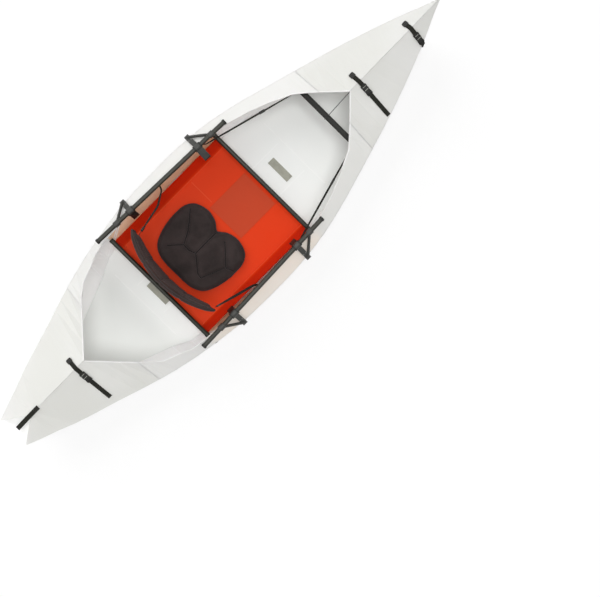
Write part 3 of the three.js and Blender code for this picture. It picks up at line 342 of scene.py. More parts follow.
# Hull sheet: twin-wall plastic with score lines, with painted light: the red floor painted faintly through its
# sides, a painted glow at the closed ends, and painted shade on the stern floor.
# Score lines are places along the hull and up or across it
hullLook = {"roughness": 0.5, "gloss": 0.3, "translucent": 1.0, "bump": 0.6, "flutePitch": 5.0, "fluteDepth": 0.05,
            "grain": 9, "grainDepth": 0.12, "cloud": 420, "cloudEnds": (0.35, 0.68), "cloudShare": 0.7,
            "crease": (1.0, 1.0, 0.99), "creaseWidth": 4.4, "rimWidth": 8.0, "creaseDepth": 0.5,
            "creaseShare": 0.85, "bottomShare": 0.25,
            "paintedEndGlow": (0.93, 0.94, 0.92), "sternStrength": 0.16, "sternFrom": (-860, -560),
            "bowFrom": (600, 860), "bowShare": {"bottom": 0.7, "side": 0.16},
            "sternFloorShade": (0.75, 0.766, 0.744), "floorFrom": (-640, -520), "floorShare": 0.9}
# Colours of the one sheet by panel: the floor and the inner side faces are painted lighter than the decks, and the
# outer side faces darker, as painted light and shade standing in for daylight through the sheet
sheetKinds = {
    "bottom": {"white": (0.875, 0.889, 0.872), "grey": (0.835, 0.85, 0.83), "depth": 0},
    "side": {"white": (0.93, 0.927, 0.908), "grey": (0.90, 0.898, 0.878), "outer": (0.80, 0.80, 0.79),
             "depth": 0.012},
    "deck": {"white": (0.797, 0.794, 0.778), "grey": (0.74, 0.741, 0.706), "depth": 0.005},
    "strip": {"white": (0.82, 0.818, 0.802), "grey": (0.79, 0.79, 0.765), "depth": 0.005},
}
stripRedLight = {"colour": (0.92, 0.83, 0.735), "ends": (-440, 250), "soft": 40, "share": 0.65}
sideCreases = [
    ((-288, 128), (-527, 2)), ((-302, 132), (-541, 6)), ((163, 136), (402, 2)), ((177, 138), (416, 6)),
    ((-527, 2), (-512, 139)), ((-612, 2), (-590, 142)), ((402, 2), (394, 160)), ((476, 2), (452, 160)),
    ((975, 244), (839, 108)), ((1157, 302), (1157, 150)), ((-1180, 40), (-1130, 175)),
]
bottomCreases = [((-520, 90), (430, 90)), ((457, -200), (457, 200)), ((-559, -200), (-559, 200)),
                 ((-458, 176), (252, 176))]
deckRims = {
    "bow_deck": [((808, 0), (711, 95))], "stern_deck": [((-907, 0), (-747, 176))],
    "strip": [((-745, 177), (-661, 254)), ((-661, 254), (-584, 284)), ((710, 96), (670, 135)),
              ((670, 135), (621, 178)), ((621, 178), (562, 206))]}
# Painted light: the red floor seen through the sides and glowing red on their inner faces
showThrough = {
    "ragged": 20, "patch": 34, "rearEnd": (-505, 1.87), "frontEnd": (382, -1.77), "endSoft": (12, 20),
    "strong": {"colour": (0.80, 0.46, 0.40), "band": (31, 68), "soft": 3, "share": 0.6},
    "faint": {"colour": (0.80, 0.66, 0.63), "band": (2, 24), "soft": 4, "ends": (-384, 216), "endSoft": 14,
              "share": 0.8},
    "innerRedGlow": {"colour": (0.95, 0.60, 0.44), "band": (0, 150), "soft": 14, "ends": (-452, 246), "endSoft": 6,
               "fade": (62, 140), "fadeShare": 0.7, "share": 0.92},
}


def hullFinish(name, kind, creases, side=0):
    look, sheet = hullLook, sheetKinds[kind]
    glow = {}
    if sheet["depth"]:
        glow = {"Subsurface_Weight": look["translucent"], "Subsurface_Radius": (1, 1, 1),
                "Subsurface_Scale": sheet["depth"]}
    finish = Finish(name, roughness=look["roughness"], Specular_IOR_Level=look["gloss"], **glow)
    x, y, z = finish.place()
    v = z if kind == "side" else abs(y)
    tone = finish.noise(look["cloud"], 2).rise(*look["cloudEnds"])
    colour = finish.mix(tone * look["cloudShare"], sheet["white"], sheet["grey"])
    inner = 1
    if kind == "side" and side:
        facing = finish.parts(finish.add("ShaderNodeNewGeometry", out="True Normal"))
        inner = 1 - (facing[1] * side).rise(-0.05, 0.05)
        colour = paintedSideLight(finish, colour, sheet["outer"], x, z, inner)
    if kind == "bottom":
        # Painted shade: the floor is painted darker towards the stern
        colour = finish.mix((1 - x.rise(*look["floorFrom"])) * look["floorShare"], colour, look["sternFloorShade"])
    # Painted light: the red floor's light on the starboard deck strip over the cockpit
    if kind == "strip" and side < 0:
        redLight = x.band(*stripRedLight["ends"], stripRedLight["soft"]) * stripRedLight["share"]
        colour = finish.mix(redLight, colour, stripRedLight["colour"])
    crease = finish.lines(x, v, creases, look["rimWidth"] if kind in ("deck", "strip") else look["creaseWidth"])
    height = v.wave(look["flutePitch"]) * look["fluteDepth"] + finish.noise(look["grain"], 2) * look["grainDepth"]
    if crease is not None:
        share = look["bottomShare"] if kind == "bottom" else look["creaseShare"]
        colour = finish.mix(crease * share, colour, look["crease"])
        height = height - crease * look["creaseDepth"]
    if kind in ("bottom", "side"):
        # Painted light: an emission glow on the floor and the inner side faces near the closed ends stands in for
        # daylight coming through the sheet
        tips = 1 - x.rise(*look["sternFrom"]) + x.rise(*look["bowFrom"]) * look["bowShare"][kind]
        finish.light(finish.mix(tips * inner, (0, 0, 0), look["paintedEndGlow"]), look["sternStrength"])
    return finish.finished(colour, height, look["bump"])


def paintedSideLight(finish, colour, outerShadedWhite, x, z, inner):
    # Painted light: the floor's red painted ragged through the outside in two bands and as a red glow on the
    # inside, with the outer faces painted darker than the inner ones
    tint = showThrough
    strong, faint, innerRedGlow = (tint[name] for name in ("strong", "faint", "innerRedGlow"))
    outer = 1 - inner
    up = z + (finish.noise(tint["patch"], 4) - 0.5) * (2 * tint["ragged"])
    rear = (x - (tint["rearEnd"][0] + z * tint["rearEnd"][1])).rise(*tint["endSoft"])
    front = ((tint["frontEnd"][0] + z * tint["frontEnd"][1]) - x).rise(*tint["endSoft"])
    strongly = up.band(*strong["band"], strong["soft"]) * rear * front
    faintly = up.band(*faint["band"], faint["soft"]) * x.band(*faint["ends"], faint["endSoft"])
    within = z.band(*innerRedGlow["band"], innerRedGlow["soft"]) * x.band(*innerRedGlow["ends"], innerRedGlow["endSoft"])
    fading = 1 - z.rise(*innerRedGlow["fade"]) * innerRedGlow["fadeShare"]
    colour = finish.mix(outer, colour, outerShadedWhite)
    colour = finish.mix(faintly * outer * faint["share"], colour, faint["colour"])
    colour = finish.mix(strongly * outer * strong["share"], colour, strong["colour"])
    return finish.mix(within * fading * inner * innerRedGlow["share"], colour, innerRedGlow["colour"])


def dressHull():
    panels = {"hull_bottom": ("bottom", bottomCreases), "stern_fold_panels": ("side", [])}
    for name, side in sides.items():
        panels[f"hull_side_{name}"] = ("side", sideCreases, side)
        panels[f"deck_strip_{name}"] = ("strip", deckRims["strip"], side)
        for place in ("bow_deck", "stern_deck"):
            panels[f"{place}_{name}"] = ("deck", deckRims[place])
    for node, panel in panels.items():
        paint(node, hullFinish(f"sheet_{node}", *panel))


def paint(node, material):
    for slot in nodes[node].material_slots:
        slot.material = material


dressHull()
print("hull sheet")

# Floor: a red board with upturned flanges, a duller cover, two grey loop patches

boardLook = {"deep": (0.70, 0.050, 0.010), "bright": (0.77, 0.044, 0.004), "fold": (0.86, 0.12, 0.05),
             "flangeShade": (0.60, 0.022, 0.004), "roughness": 0.5, "foldAt": 262, "pitch": 5.0,
             "brighter": {"along": (-470, 150), "alongShare": 0.55, "across": (-260, 260), "acrossShare": 0.45},
             "flangeSoft": 14, "foldEnds": (0.6, 3.2), "foldShare": 0.5, "score": ((12, 118), (12, 250), 2.4),
             "scuff": 26, "scuffStretch": (0.25, 1, 1), "scuffEnds": (0.6, 0.8), "scuffed": (0.46, 0.2),
             "gloss": 0.07, "fluteDepth": 0.06, "grain": 7, "grainDepth": 0.1, "foldDepth": 0.5, "bump": 0.6}
coverLook = {"colour": (0.56, 0.066, 0.025), "edge": (0.61, 0.056, 0.016), "half": 105, "front": 222, "rear": -14,
             "hem": (-5, -3), "cloud": 60, "cloudShare": 0.3, "grain": 1.6, "relief": (0.3, 0.2), "bump": 0.4}
patchLook = {"colour": (0.41, 0.41, 0.345), "dark": (0.32, 0.32, 0.27), "loop": 1.6, "fuzz": 14,
             "fuzzEnds": (0.3, 0.75), "shares": (0.6, 0.4), "bump": 0.8}


def boardFinish():
    look, brighter = boardLook, boardLook["brighter"]
    finish = Finish("red_board", roughness=look["roughness"], Specular_IOR_Level=look["gloss"])
    x, y, z = finish.place()
    # Painted light: the board is painted lighter towards the bow and towards starboard
    forward = (x.rise(*brighter["along"]) * brighter["alongShare"]
               + (-y).rise(*brighter["across"]) * brighter["acrossShare"])
    colour = finish.mix(forward, look["deep"], look["bright"])
    # Painted shade: the upturned flanges are painted darker than the floor
    flangeShade = abs(y).rise(look["foldAt"], look["foldAt"] + look["flangeSoft"])
    colour = finish.mix(flangeShade, colour, look["flangeShade"])
    fold = 1 - abs(abs(y) - look["foldAt"]).rise(*look["foldEnds"])
    score = finish.line(x, y, *look["score"])
    colour = finish.mix(fold.most(score) * look["foldShare"], colour, look["fold"])
    smooth, rougher = look["scuffed"]
    rough = smooth + finish.noise(look["scuff"], 5, look["scuffStretch"]).rise(*look["scuffEnds"]) * rougher
    height = y.wave(look["pitch"]) * look["fluteDepth"] + finish.noise(look["grain"], 2) * look["grainDepth"]
    return finish.finished(colour, height - fold * look["foldDepth"], look["bump"], rough)


def coverFinish():
    look = coverLook
    finish = Finish("floor_cover", roughness=0.6, Specular_IOR_Level=0.08)
    x, y, z = finish.place()
    gap = (abs(y) - look["half"]).most((x - look["front"]).most(look["rear"] - x))
    cloud = finish.noise(look["cloud"], 3)
    colour = finish.mix(cloud * look["cloudShare"], look["colour"], look["edge"])
    colour = finish.mix(gap.rise(*look["hem"]), colour, look["edge"])
    fine, coarse = look["relief"]
    return finish.finished(colour, finish.noise(look["grain"], 2) * fine + cloud * coarse, look["bump"])


def patchFinish():
    look = patchLook
    finish = Finish("loop_patch", roughness=0.95, Sheen_Weight=0.4)
    loops = finish.cells(1000 / look["loop"])
    fuzz = finish.noise(look["fuzz"], 4).rise(*look["fuzzEnds"])
    fuzzy, looped = look["shares"]
    colour = finish.mix(fuzz * fuzzy + loops * looped, look["colour"], look["dark"])
    return finish.finished(colour, loops, look["bump"])


def dressFloor():
    paint("floorboard", boardFinish())
    paint("floor_cover", coverFinish())
    patch = patchFinish()
    for end in ("front", "rear"):
        paint(f"loop_patch_{end}", patch)


dressFloor()
print("floor")

# Finishes of the hard and the soft pieces

hardLook = {
    "moulding": {"colour": (0.011, 0.011, 0.009), "worn": (0.045, 0.045, 0.039), "roughness": 0.44, "grain": 1.4,
                 "gloss": 0.3},
    "bracket": {"colour": (0.036, 0.036, 0.032), "worn": (0.11, 0.11, 0.10), "roughness": 0.40, "grain": 1.8,
                "gloss": 0.4},
    "tube": {"colour": (0.022, 0.0225, 0.016), "worn": (0.058, 0.058, 0.048), "roughness": 0.36, "grain": 0.7,
             "gloss": 0.4},
    "steel": {"colour": (0.16, 0.16, 0.155), "worn": (0.36, 0.36, 0.35), "roughness": 0.3, "grain": 0.8,
              "gloss": 0.5},
    # Painted highlight: the light-grey bars across the buckles' slots stand for glints
    "glint_bar": {"colour": (0.36, 0.36, 0.32), "worn": (0.46, 0.46, 0.42), "roughness": 0.35, "grain": 0.8,
                 "gloss": 0.5},
}
wearLook = {"rub": 30, "rubEnds": (0.58, 0.78), "rubShare": 0.35, "speckEnds": (0.6, 0.8), "speckShare": 0.15,
            "rougher": (0.12, 0.06), "bump": 0.12}


def hardFinish(name, metallic=0.0):
    look, wear = hardLook[name], wearLook
    finish = Finish(name, metallic=metallic, Specular_IOR_Level=look["gloss"])
    rub = finish.noise(wear["rub"], 5).rise(*wear["rubEnds"])
    speck = finish.noise(look["grain"], 2)
    worn = rub * wear["rubShare"] + speck.rise(*wear["speckEnds"]) * wear["speckShare"]
    rubbed, specked = wear["rougher"]
    rough = look["roughness"] + rub * rubbed + speck * specked
    return finish.finished(finish.mix(worn, look["colour"], look["worn"]), speck, wear["bump"], rough)


webLook = {"colour": (0.008, 0.008, 0.006), "worn": (0.024, 0.024, 0.018), "dust": (0.07, 0.07, 0.06),
           "dustShare": 0.15, "rib": 2.4, "cross": 1.7, "slant": 0.8}


def webFinish():
    # Flat-woven webbing: slanted ribs with raised selvages
    look = webLook
    finish = Finish("webbing", roughness=0.82, Specular_IOR_Level=0.2, Sheen_Weight=0.05)
    along, across = finish.cloth()
    rib = (along + abs(across) * look["slant"]).wave(look["rib"])
    weave = rib * 0.6 + rib * across.wave(look["cross"]) * 0.4
    colour = finish.mix(weave.rise(-0.9, 0.9), look["colour"], look["worn"])
    colour = finish.mix(finish.noise(40, 4).rise(0.55, 0.8) * look["dustShare"], colour, look["dust"])
    return finish.finished(colour, weave, 0.35)


clothLook = {
    "seat_fabric": {"dark": (0.021, 0.0150, 0.0145), "light": (0.038, 0.0270, 0.0262),
                    "knit": (0.058, 0.044, 0.042), "seam": (0.006, 0.004, 0.004), "wrinkle": 1.0},
    # The backrest's fabric is the seat's made redder: partly its own brown, partly painted red light from the floor
    "back_fabric": {"dark": (0.026, 0.0125, 0.0105), "light": (0.044, 0.0235, 0.020),
                    "knit": (0.066, 0.042, 0.038), "wrinkle": 1.8},
}
knitLook = {"pitch": (2.1, 1.9, 2.0), "share": 0.4, "relief": 0.16, "cloud": 70, "wrinkle": 26,
            "wrinkleStretch": (1, 0.6, 1), "seamWidth": 3.4, "seamAbove": (36, 40), "seamShare": 0.85, "bump": 0.9}


def seatFinish(name, seams=()):
    # Knitted nylon over foam, with painted shade along the seams' grooves where it is sewn down
    look, knitted = clothLook[name], knitLook
    finish = Finish(name, roughness=0.8, Specular_IOR_Level=0.2, Sheen_Weight=0.06, Sheen_Roughness=0.5)
    x, y, z = finish.place()
    first, second, third = (axis.wave(pitch) for axis, pitch in zip((x, y, z), knitted["pitch"]))
    knit = first * second + third * 0.5
    colour = finish.mix(finish.noise(knitted["cloud"], 4).rise(0.3, 0.7), look["dark"], look["light"])
    colour = finish.mix(knit.rise(-0.2, 1.4) * knitted["share"], colour, look["knit"])
    seamShade = finish.lines(x, y, [pair for seam in seams for pair in zip(seam, seam[1:])], knitted["seamWidth"])
    if seamShade is not None:
        colour = finish.mix(seamShade * z.rise(*knitted["seamAbove"]) * knitted["seamShare"], colour, look["seam"])
    wrinkle = finish.noise(knitted["wrinkle"], 3, knitted["wrinkleStretch"])
    return finish.finished(colour, knit * knitted["relief"] + wrinkle * look["wrinkle"], knitted["bump"])


softLook = {
    "piping": {"dark": (0.010, 0.008, 0.008), "light": (0.024, 0.020, 0.020), "grain": 1.2, "bump": 0.2},
    "foam": {"dark": (0.016, 0.016, 0.015), "light": (0.034, 0.034, 0.031), "cells": 620.0, "cloud": 18,
             "shares": (0.6, 0.4), "relief": 0.6, "bump": 0.5},
    "cord": {"dark": (0.010, 0.010, 0.010), "light": (0.045, 0.045, 0.042), "slant": 1.4, "pitch": 2.2,
             "ends": (-0.6, 0.6), "bump": 0.3},
    "thread": {"twist": 0.9, "lighter": 1.7, "bump": 0.15},
}


def pipingFinish():
    look = softLook["piping"]
    finish = Finish("seat_piping", roughness=0.7)
    grain = finish.noise(look["grain"], 2)
    return finish.finished(finish.mix(grain, look["dark"], look["light"]), grain, look["bump"])


def foamFinish():
    look = softLook["foam"]
    finish = Finish("foot_foam", roughness=0.9)
    cells, cloud = finish.cells(look["cells"]), finish.noise(look["cloud"], 3)
    fine, coarse = look["shares"]
    colour = finish.mix(cells * fine + cloud * coarse, look["dark"], look["light"])
    return finish.finished(colour, cells + cloud * look["relief"], look["bump"])


def cordFinish():
    look = softLook["cord"]
    finish = Finish("tether_cord", roughness=0.8)
    along, around = finish.cloth()
    lean = around * look["slant"]
    braid = (along + lean).wave(look["pitch"]) * (along - lean).wave(look["pitch"])
    colour = finish.mix(braid.rise(*look["ends"]), look["dark"], look["light"])
    return finish.finished(colour, braid, look["bump"])


def threadFinish(name, colour):
    look = softLook["thread"]
    finish = Finish(name, roughness=0.6)
    twist = finish.noise(look["twist"], 1)
    lighter = tuple(part * look["lighter"] for part in colour)
    return finish.finished(finish.mix(twist, colour, lighter), twist, look["bump"])


# Each finish with the slot that it stands in
moulding = hardFinish("moulding"), "black_moulding"
bracketPaint = hardFinish("bracket"), "black_moulding"
tubePaint = hardFinish("tube", 0.2), "black_tube"
steel = hardFinish("steel", 0.9), "bolt_steel"
glintBar = hardFinish("glint_bar"), "bolt_steel"
webbing = webFinish(), "webbing"
backFabric = seatFinish("back_fabric"), "seat_fabric"
piping = pipingFinish(), "seat_fabric"
foam = foamFinish(), "foot_foam"
braided = cordFinish(), "webbing"
padThread = threadFinish("black_thread", (0.03, 0.028, 0.028)), "seat_fabric"
backThread = threadFinish("grey_thread", (0.075, 0.068, 0.066)), "seat_fabric"
webThread = backThread[0], "webbing"
print("finishes")


# Mesh helpers

def newPiece(name, mesh):
    piece = bpy.data.objects.new(name, mesh)
    bpy.context.scene.collection.objects.link(piece)
    return piece


def baked(piece):
    # The piece with its modifiers worked into its mesh
    graph = bpy.context.evaluated_depsgraph_get()
    graph.update()
    mesh = bpy.data.meshes.new_from_object(piece.evaluated_get(graph))
    old = piece.data
    piece.modifiers.clear()
    piece.data = mesh
    bpy.data.meshes.remove(old)
    return piece


def settle(piece, look, body=None, replaced=None, smooth=40):
    # A finished piece: its look, the body it rides on and the node it stands for
    material, slot = look
    piece.data.materials.clear()
    piece.data.materials.append(material)
    piece.data.shade_smooth()
    if smooth < 180:
        piece.data.set_sharp_from_angle(angle=math.radians(smooth))
    if body:
        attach(piece, body)
    if replaced:
        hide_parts(replaced)
    return piece


def meshOf(name, points, faces):
    # A mesh from points in millimetres
    mesh = bpy.data.meshes.new(name)
    mesh.from_pydata([tuple(part * mm for part in point) for point in points], [], faces)
    mesh.validate()
    return mesh


def opened(mesh):
    shape = bmesh.new()
    shape.from_mesh(mesh)
    return shape


def written(shape, mesh):
    shape.to_mesh(mesh)
    shape.free()
    return mesh


def outward(mesh, merged=True):
    shape = opened(mesh)
    if merged:
        bmesh.ops.remove_doubles(shape, verts=shape.verts, dist=1e-7)
    bmesh.ops.recalc_face_normals(shape, faces=shape.faces)
    return written(shape, mesh)


def rowFaces(rows, count, ring=False):
    # Four-sided faces between rows of points, closed at both ends or led round into the first row
    faces = []
    for row in range(rows if ring else rows - 1):
        near, far = row * count, (row + 1) % rows * count
        for i in range(count):
            after = (i + 1) % count
            faces.append((near + i, near + after, far + after, far + i))
    if not ring:
        faces.append(tuple(range(count))[::-1])
        faces.append(tuple(range((rows - 1) * count, rows * count)))
    return faces


def loft(name, loops):
    points = [point for loop in loops for point in loop]
    return newPiece(name, outward(meshOf(name, points, rowFaces(len(loops), len(loops[0])))))


def mapped(name, points, runs, across, ring=False):
    # A piece in rows, with a map in millimetres: how far along each row is and how far across each place
    mesh = meshOf(name, points, rowFaces(len(runs), len(across), ring))
    layer = mesh.uv_layers.new(name="UVMap")
    for loop in mesh.loops:
        row, i = divmod(loop.vertex_index, len(across))
        layer.data[loop.index].uv = (runs[row] * mm, across[i] * mm)
    return newPiece(name, outward(mesh, merged=False))


def angles(count):
    return [2 * math.pi * i / count for i in range(count)]


def joined(name, pieces):
    # Several objects made one mesh at the origin
    shape = bmesh.new()
    for piece in pieces:
        shape.from_mesh(piece.data)
    mesh = written(shape, bpy.data.meshes.new(name))
    for piece in pieces:
        bpy.data.objects.remove(piece)
    return newPiece(name, mesh)


def axesAt(origin, x, y, z):
    return Matrix.Translation(Vector(origin)) @ Matrix((x, y, z)).transposed().to_4x4()


def frameAt(origin, along, side):
    # X along a run, Y along its width, Z off its face, upwards
    first = Vector(along).normalized()
    off = first.cross(Vector(side)).normalized()
    if off.z < 0:
        off.negate()
    return axesAt(origin, first, off.cross(first), off)


def uprightAt(centre, along):
    # X along a run, Z as near to upright as it allows
    direction = Vector(along).normalized()
    up = (Vector((0, 0, 1)) - direction * direction.z).normalized()
    return axesAt(centre, direction, up.cross(direction), up)


def rounded(route, bend):
    # The route with each inner corner turned on a short curve; each place is (point, side)
    rows = [(Vector(point), Vector(side).normalized()) for point, side in route]
    made = [rows[0]]
    for before, here, after in zip(rows, rows[1:], rows[2:]):
        back, ahead = before[0] - here[0], after[0] - here[0]
        start = here[0] + back.normalized() * min(bend, back.length * 0.45)
        end = here[0] + ahead.normalized() * min(bend, ahead.length * 0.45)
        for step in range(6):
            t = step / 5
            point = start * (1 - t) ** 2 + here[0] * (2 * t * (1 - t)) + end * t ** 2
            made.append((point, here[1]))
    return [*made, rows[-1]]


def evened(route, spacing):
    # More places along the long straight runs
    made = [route[0]]
    for before, here in zip(route, route[1:]):
        parts = max(1, math.ceil((here[0] - before[0]).length / spacing))
        for part in range(1, parts + 1):
            made.append((before[0].lerp(here[0], part / parts), before[1].lerp(here[1], part / parts).normalized()))
    return made


def ribbon(name, route, width, thickness, bend=3, spacing=8):
    # A strap with rounded selvages along (point, side) places, mapped in millimetres for its weave
    places = evened(rounded(route, bend), spacing)
    half, edge = width / 2, thickness / 2
    profile = [(-half, 0), (-half + edge * 0.4, edge * 0.9), (-half + edge * 1.6, edge), (0, edge),
               (half - edge * 1.6, edge), (half - edge * 0.4, edge * 0.9), (half, 0),
               (half - edge * 0.4, -edge * 0.9), (half - edge * 1.6, -edge), (0, -edge),
               (-half + edge * 1.6, -edge), (-half + edge * 0.4, -edge * 0.9)]
    points, runs, travelled = [], [], 0.0
    for i, (point, side) in enumerate(places):
        ahead = places[min(i + 1, len(places) - 1)][0] - places[max(i - 1, 0)][0]
        off = ahead.cross(side).normalized()
        width3 = off.cross(ahead).normalized() if abs(ahead.dot(side)) > 1e-6 else side
        if width3.dot(side) < 0:
            width3 = -width3
        if i:
            travelled += (point - places[i - 1][0]).length
        runs.append(travelled)
        points.extend(point + width3 * across + off * up for across, up in profile)
    return mapped(name, points, runs, [across for across, _ in profile])


def slab(name, stations, corner=8, power=4.0):
    # Rounded-rectangle loops across X: each station is (x, half width, half height) and the middle's height
    loops = []
    for x, halfWidth, halfHeight, *rest in stations:
        middle = rest[0] if rest else 0
        loop = []
        for step in range(corner * 2):
            angle = 2 * math.pi * (step + 0.5) / (corner * 2)
            c, s = math.cos(angle), math.sin(angle)
            grow = (abs(c) ** power + abs(s) ** power) ** (-1 / power)
            loop.append((x, halfWidth * c * grow, middle + halfHeight * s * grow))
        loops.append(loop)
    return loft(name, loops)


def turned(name, profile, origin, axis, around=28):
    # A lathe shape: (radius, run) pairs about an axis from an origin
    direction = Vector(axis).normalized()
    turn = direction.to_track_quat("Z", "Y").to_matrix()
    loops = []
    for radius, run in profile:
        loops.append([Vector(origin) + turn @ Vector((radius * math.cos(a), radius * math.sin(a), run))
                      for a in angles(around)])
    return loft(name, loops)


def moved(piece, matrix):
    place = Matrix.Scale(mm, 4) @ matrix @ Matrix.Scale(1 / mm, 4)
    piece.data.transform(place)
    if place.to_3x3().determinant() < 0:
        piece.data.flip_normals()
    return piece


def sided(piece, side):
    # Mirrored where it belongs to starboard
    if side < 0:
        piece.data.transform(Matrix.Diagonal((1, -1, 1, 1)))
        piece.data.flip_normals()
    return piece


def blockPiece(name, low, high, bevel=0.0):
    shape = bmesh.new()
    bmesh.ops.create_cube(shape, size=1)
    for vert in shape.verts:
        vert.co = Vector([(low[k] if vert.co[k] < 0 else high[k]) * mm for k in range(3)])
    if bevel:
        bmesh.ops.bevel(shape, geom=shape.edges[:], offset=bevel * mm, segments=2, affect="EDGES", profile=0.6)
    return newPiece(name, written(shape, bpy.data.meshes.new(name)))


def carved(piece, cuts):
    # Blocks taken out of a piece, each (low corner, high corner) and a bevel where it has one
    cutters = [blockPiece("cut", *cut) for cut in cuts]
    for cutter in cutters:
        cut = piece.modifiers.new("cut", "BOOLEAN")
        cut.operation = "DIFFERENCE"
        cut.solver = "EXACT"
        cut.object = cutter
    baked(piece)
    for cutter in cutters:
        bpy.data.objects.remove(cutter)
    return piece


def softened(node, bevel, joinAngle=0.6, edgeAngle=32):
    # A copy of a CAD node with its flat faces joined and its edges rounded
    shape = opened(nodes[node].data)
    bmesh.ops.remove_doubles(shape, verts=shape.verts, dist=2e-5)
    bmesh.ops.dissolve_limit(shape, angle_limit=math.radians(joinAngle), verts=shape.verts, edges=shape.edges)
    piece = newPiece(f"{node}_body", written(shape, bpy.data.meshes.new(f"{node}_body")))
    edge = piece.modifiers.new("edge", "BEVEL")
    edge.width = bevel * mm
    edge.segments = 2
    edge.limit_method = "ANGLE"
    edge.angle_limit = math.radians(edgeAngle)
    return baked(piece)


def catmull(points, count, closed=False):
    # Evenly spaced places on a smooth curve through points
    rows = [Vector(point) for point in points]
    pairs = len(rows) if closed else len(rows) - 1
    dense = []
    for i in range(pairs):
        if closed:
            a, b, c, d = (rows[(i + k) % len(rows)] for k in (-1, 0, 1, 2))
        else:
            a, b, c, d = (rows[min(max(i + k, 0), len(rows) - 1)] for k in (-1, 0, 1, 2))
        for step in range(16):
            t = step / 16
            dense.append(0.5 * (2 * b + (c - a) * t + (2 * a - 5 * b + 4 * c - d) * t ** 2
                                + (3 * b - a - 3 * c + d) * t ** 3))
    dense.append(rows[0] if closed else rows[-1])
    lengths = np.cumsum([0] + [(b - a).length for a, b in zip(dense, dense[1:])])
    wanted = np.linspace(0, lengths[-1], count + (1 if closed else 0))
    made = []
    for want in wanted[:count]:
        i = min(int(np.searchsorted(lengths, want, "right")) - 1, len(dense) - 2)
        made.append(dense[i].lerp(dense[i + 1], (want - lengths[i]) / max(lengths[i + 1] - lengths[i], 1e-9)))
    return made


def tubeAlong(name, points, radius, around=8, ring=False):
    # A round tube with a map in millimetres along and around it
    rows = [Vector(point) for point in points]
    count = len(rows)
    places, travelled, runs = [], 0.0, []
    normal = None
    for i, point in enumerate(rows):
        ahead = rows[(i + 1) % count] if ring else rows[min(i + 1, count - 1)]
        before = rows[i - 1] if ring else rows[max(i - 1, 0)]
        tangent = (ahead - before).normalized()
        if normal is None:
            normal = tangent.orthogonal().normalized()
        normal = (normal - tangent * normal.dot(tangent)).normalized()
        side = tangent.cross(normal)
        if i:
            travelled += (point - rows[i - 1]).length
        runs.append(travelled)
        places += [point + (normal * math.cos(a) + side * math.sin(a)) * radius for a in angles(around)]
    return mapped(name, places, runs, [angle * 3 for angle in angles(around)], ring)


def surfaceOf(piece):
    shape = opened(piece.data)
    surface = BVHTree.FromBMesh(shape)
    shape.free()
    return surface


def hitOn(surface, start, direction):
    # The first place that a line from start meets, with its normal, in millimetres
    place, normal, _, _ = surface.ray_cast(Vector(start) * mm, Vector(direction).normalized())
    if place is None:
        return None, None
    if normal.dot(Vector(direction)) > 0:
        normal = -normal
    return place / mm, normal


def hitsOn(surface, rays, lift=0.0):
    # Where several (start, direction) lines meet it, drawn back by lift, and the normals there
    found = [(*hitOn(surface, start, direction), Vector(direction)) for start, direction in rays]
    return [(place - direction * lift, normal) for place, normal, direction in found if place is not None]


def placesOn(surface, rays, lift=0.0):
    return [place for place, _ in hitsOn(surface, rays, lift)]


# Repeats made with Geometry Nodes

class Repeat:
    def __init__(self, name, **inputs):
        self.tree = bpy.data.node_groups.new(name, "GeometryNodeTree")
        ask = self.tree.interface.new_socket
        ask("Geometry", in_out="INPUT", socket_type="NodeSocketGeometry")
        for title, kind in inputs.items():
            ask(title, in_out="INPUT", socket_type=f"NodeSocket{kind}")
        ask("Geometry", in_out="OUTPUT", socket_type="NodeSocketGeometry")
        self.given = self.tree.nodes.new("NodeGroupInput").outputs

    def add(self, kind, settings=None, values=None, out=0):
        return addNode(self.tree, kind, settings, values, out)

    def turnTo(self, direction):
        return self.add("FunctionNodeAlignRotationToVector", {"axis": "Z"}, {"Vector": direction})

    def sizes(self, across, height):
        return self.add("ShaderNodeCombineXYZ", values={0: across, 1: across, 2: height})

    def close(self, geometry):
        solid = self.add("GeometryNodeRealizeInstances", values={0: geometry})
        dressed = self.add("GeometryNodeSetMaterial", values={"Geometry": solid, "Material": self.given["Finish"]})
        self.add("NodeGroupOutput", values={0: dressed}, out=None)
        return self

    def instances(self, points, shape, direction, across, height):
        # One shape at each point, its upright turned to a direction
        values = {"Points": points, "Instance": shape, "Rotation": self.turnTo(direction),
                  "Scale": self.sizes(across, height)}
        return self.close(self.add("GeometryNodeInstanceOnPoints", values=values))

    def along(self, name, mesh, **values):
        piece = newPiece(name, mesh)
        modifier = piece.modifiers.new("repeat", "NODES")
        modifier.node_group = self.tree
        for item in self.tree.interface.items_tree:
            if item.in_out == "INPUT" and item.name in values:
                modifier[item.identifier] = values[item.name]
        return baked(piece)


def stitchTree():
    # Thread stitches laid end to end on a path
    tree = Repeat("stitches", Pitch="Float", Length="Float", Radius="Float", Finish="Material")
    given = tree.given
    path = tree.add("GeometryNodeMeshToCurve", values={0: given["Geometry"]})
    places = tree.add("GeometryNodeCurveToPoints", {"mode": "LENGTH"}, {0: path, "Length": given["Pitch"]})
    stitch = tree.add("GeometryNodeMeshUVSphere", values={"Segments": 6, "Rings": 5, "Radius": 1.0})
    half = tree.add("ShaderNodeMath", {"operation": "MULTIPLY"}, {0: given["Length"], 1: 0.5})
    return tree.instances(places, stitch, places.node.outputs["Tangent"], given["Radius"], half)


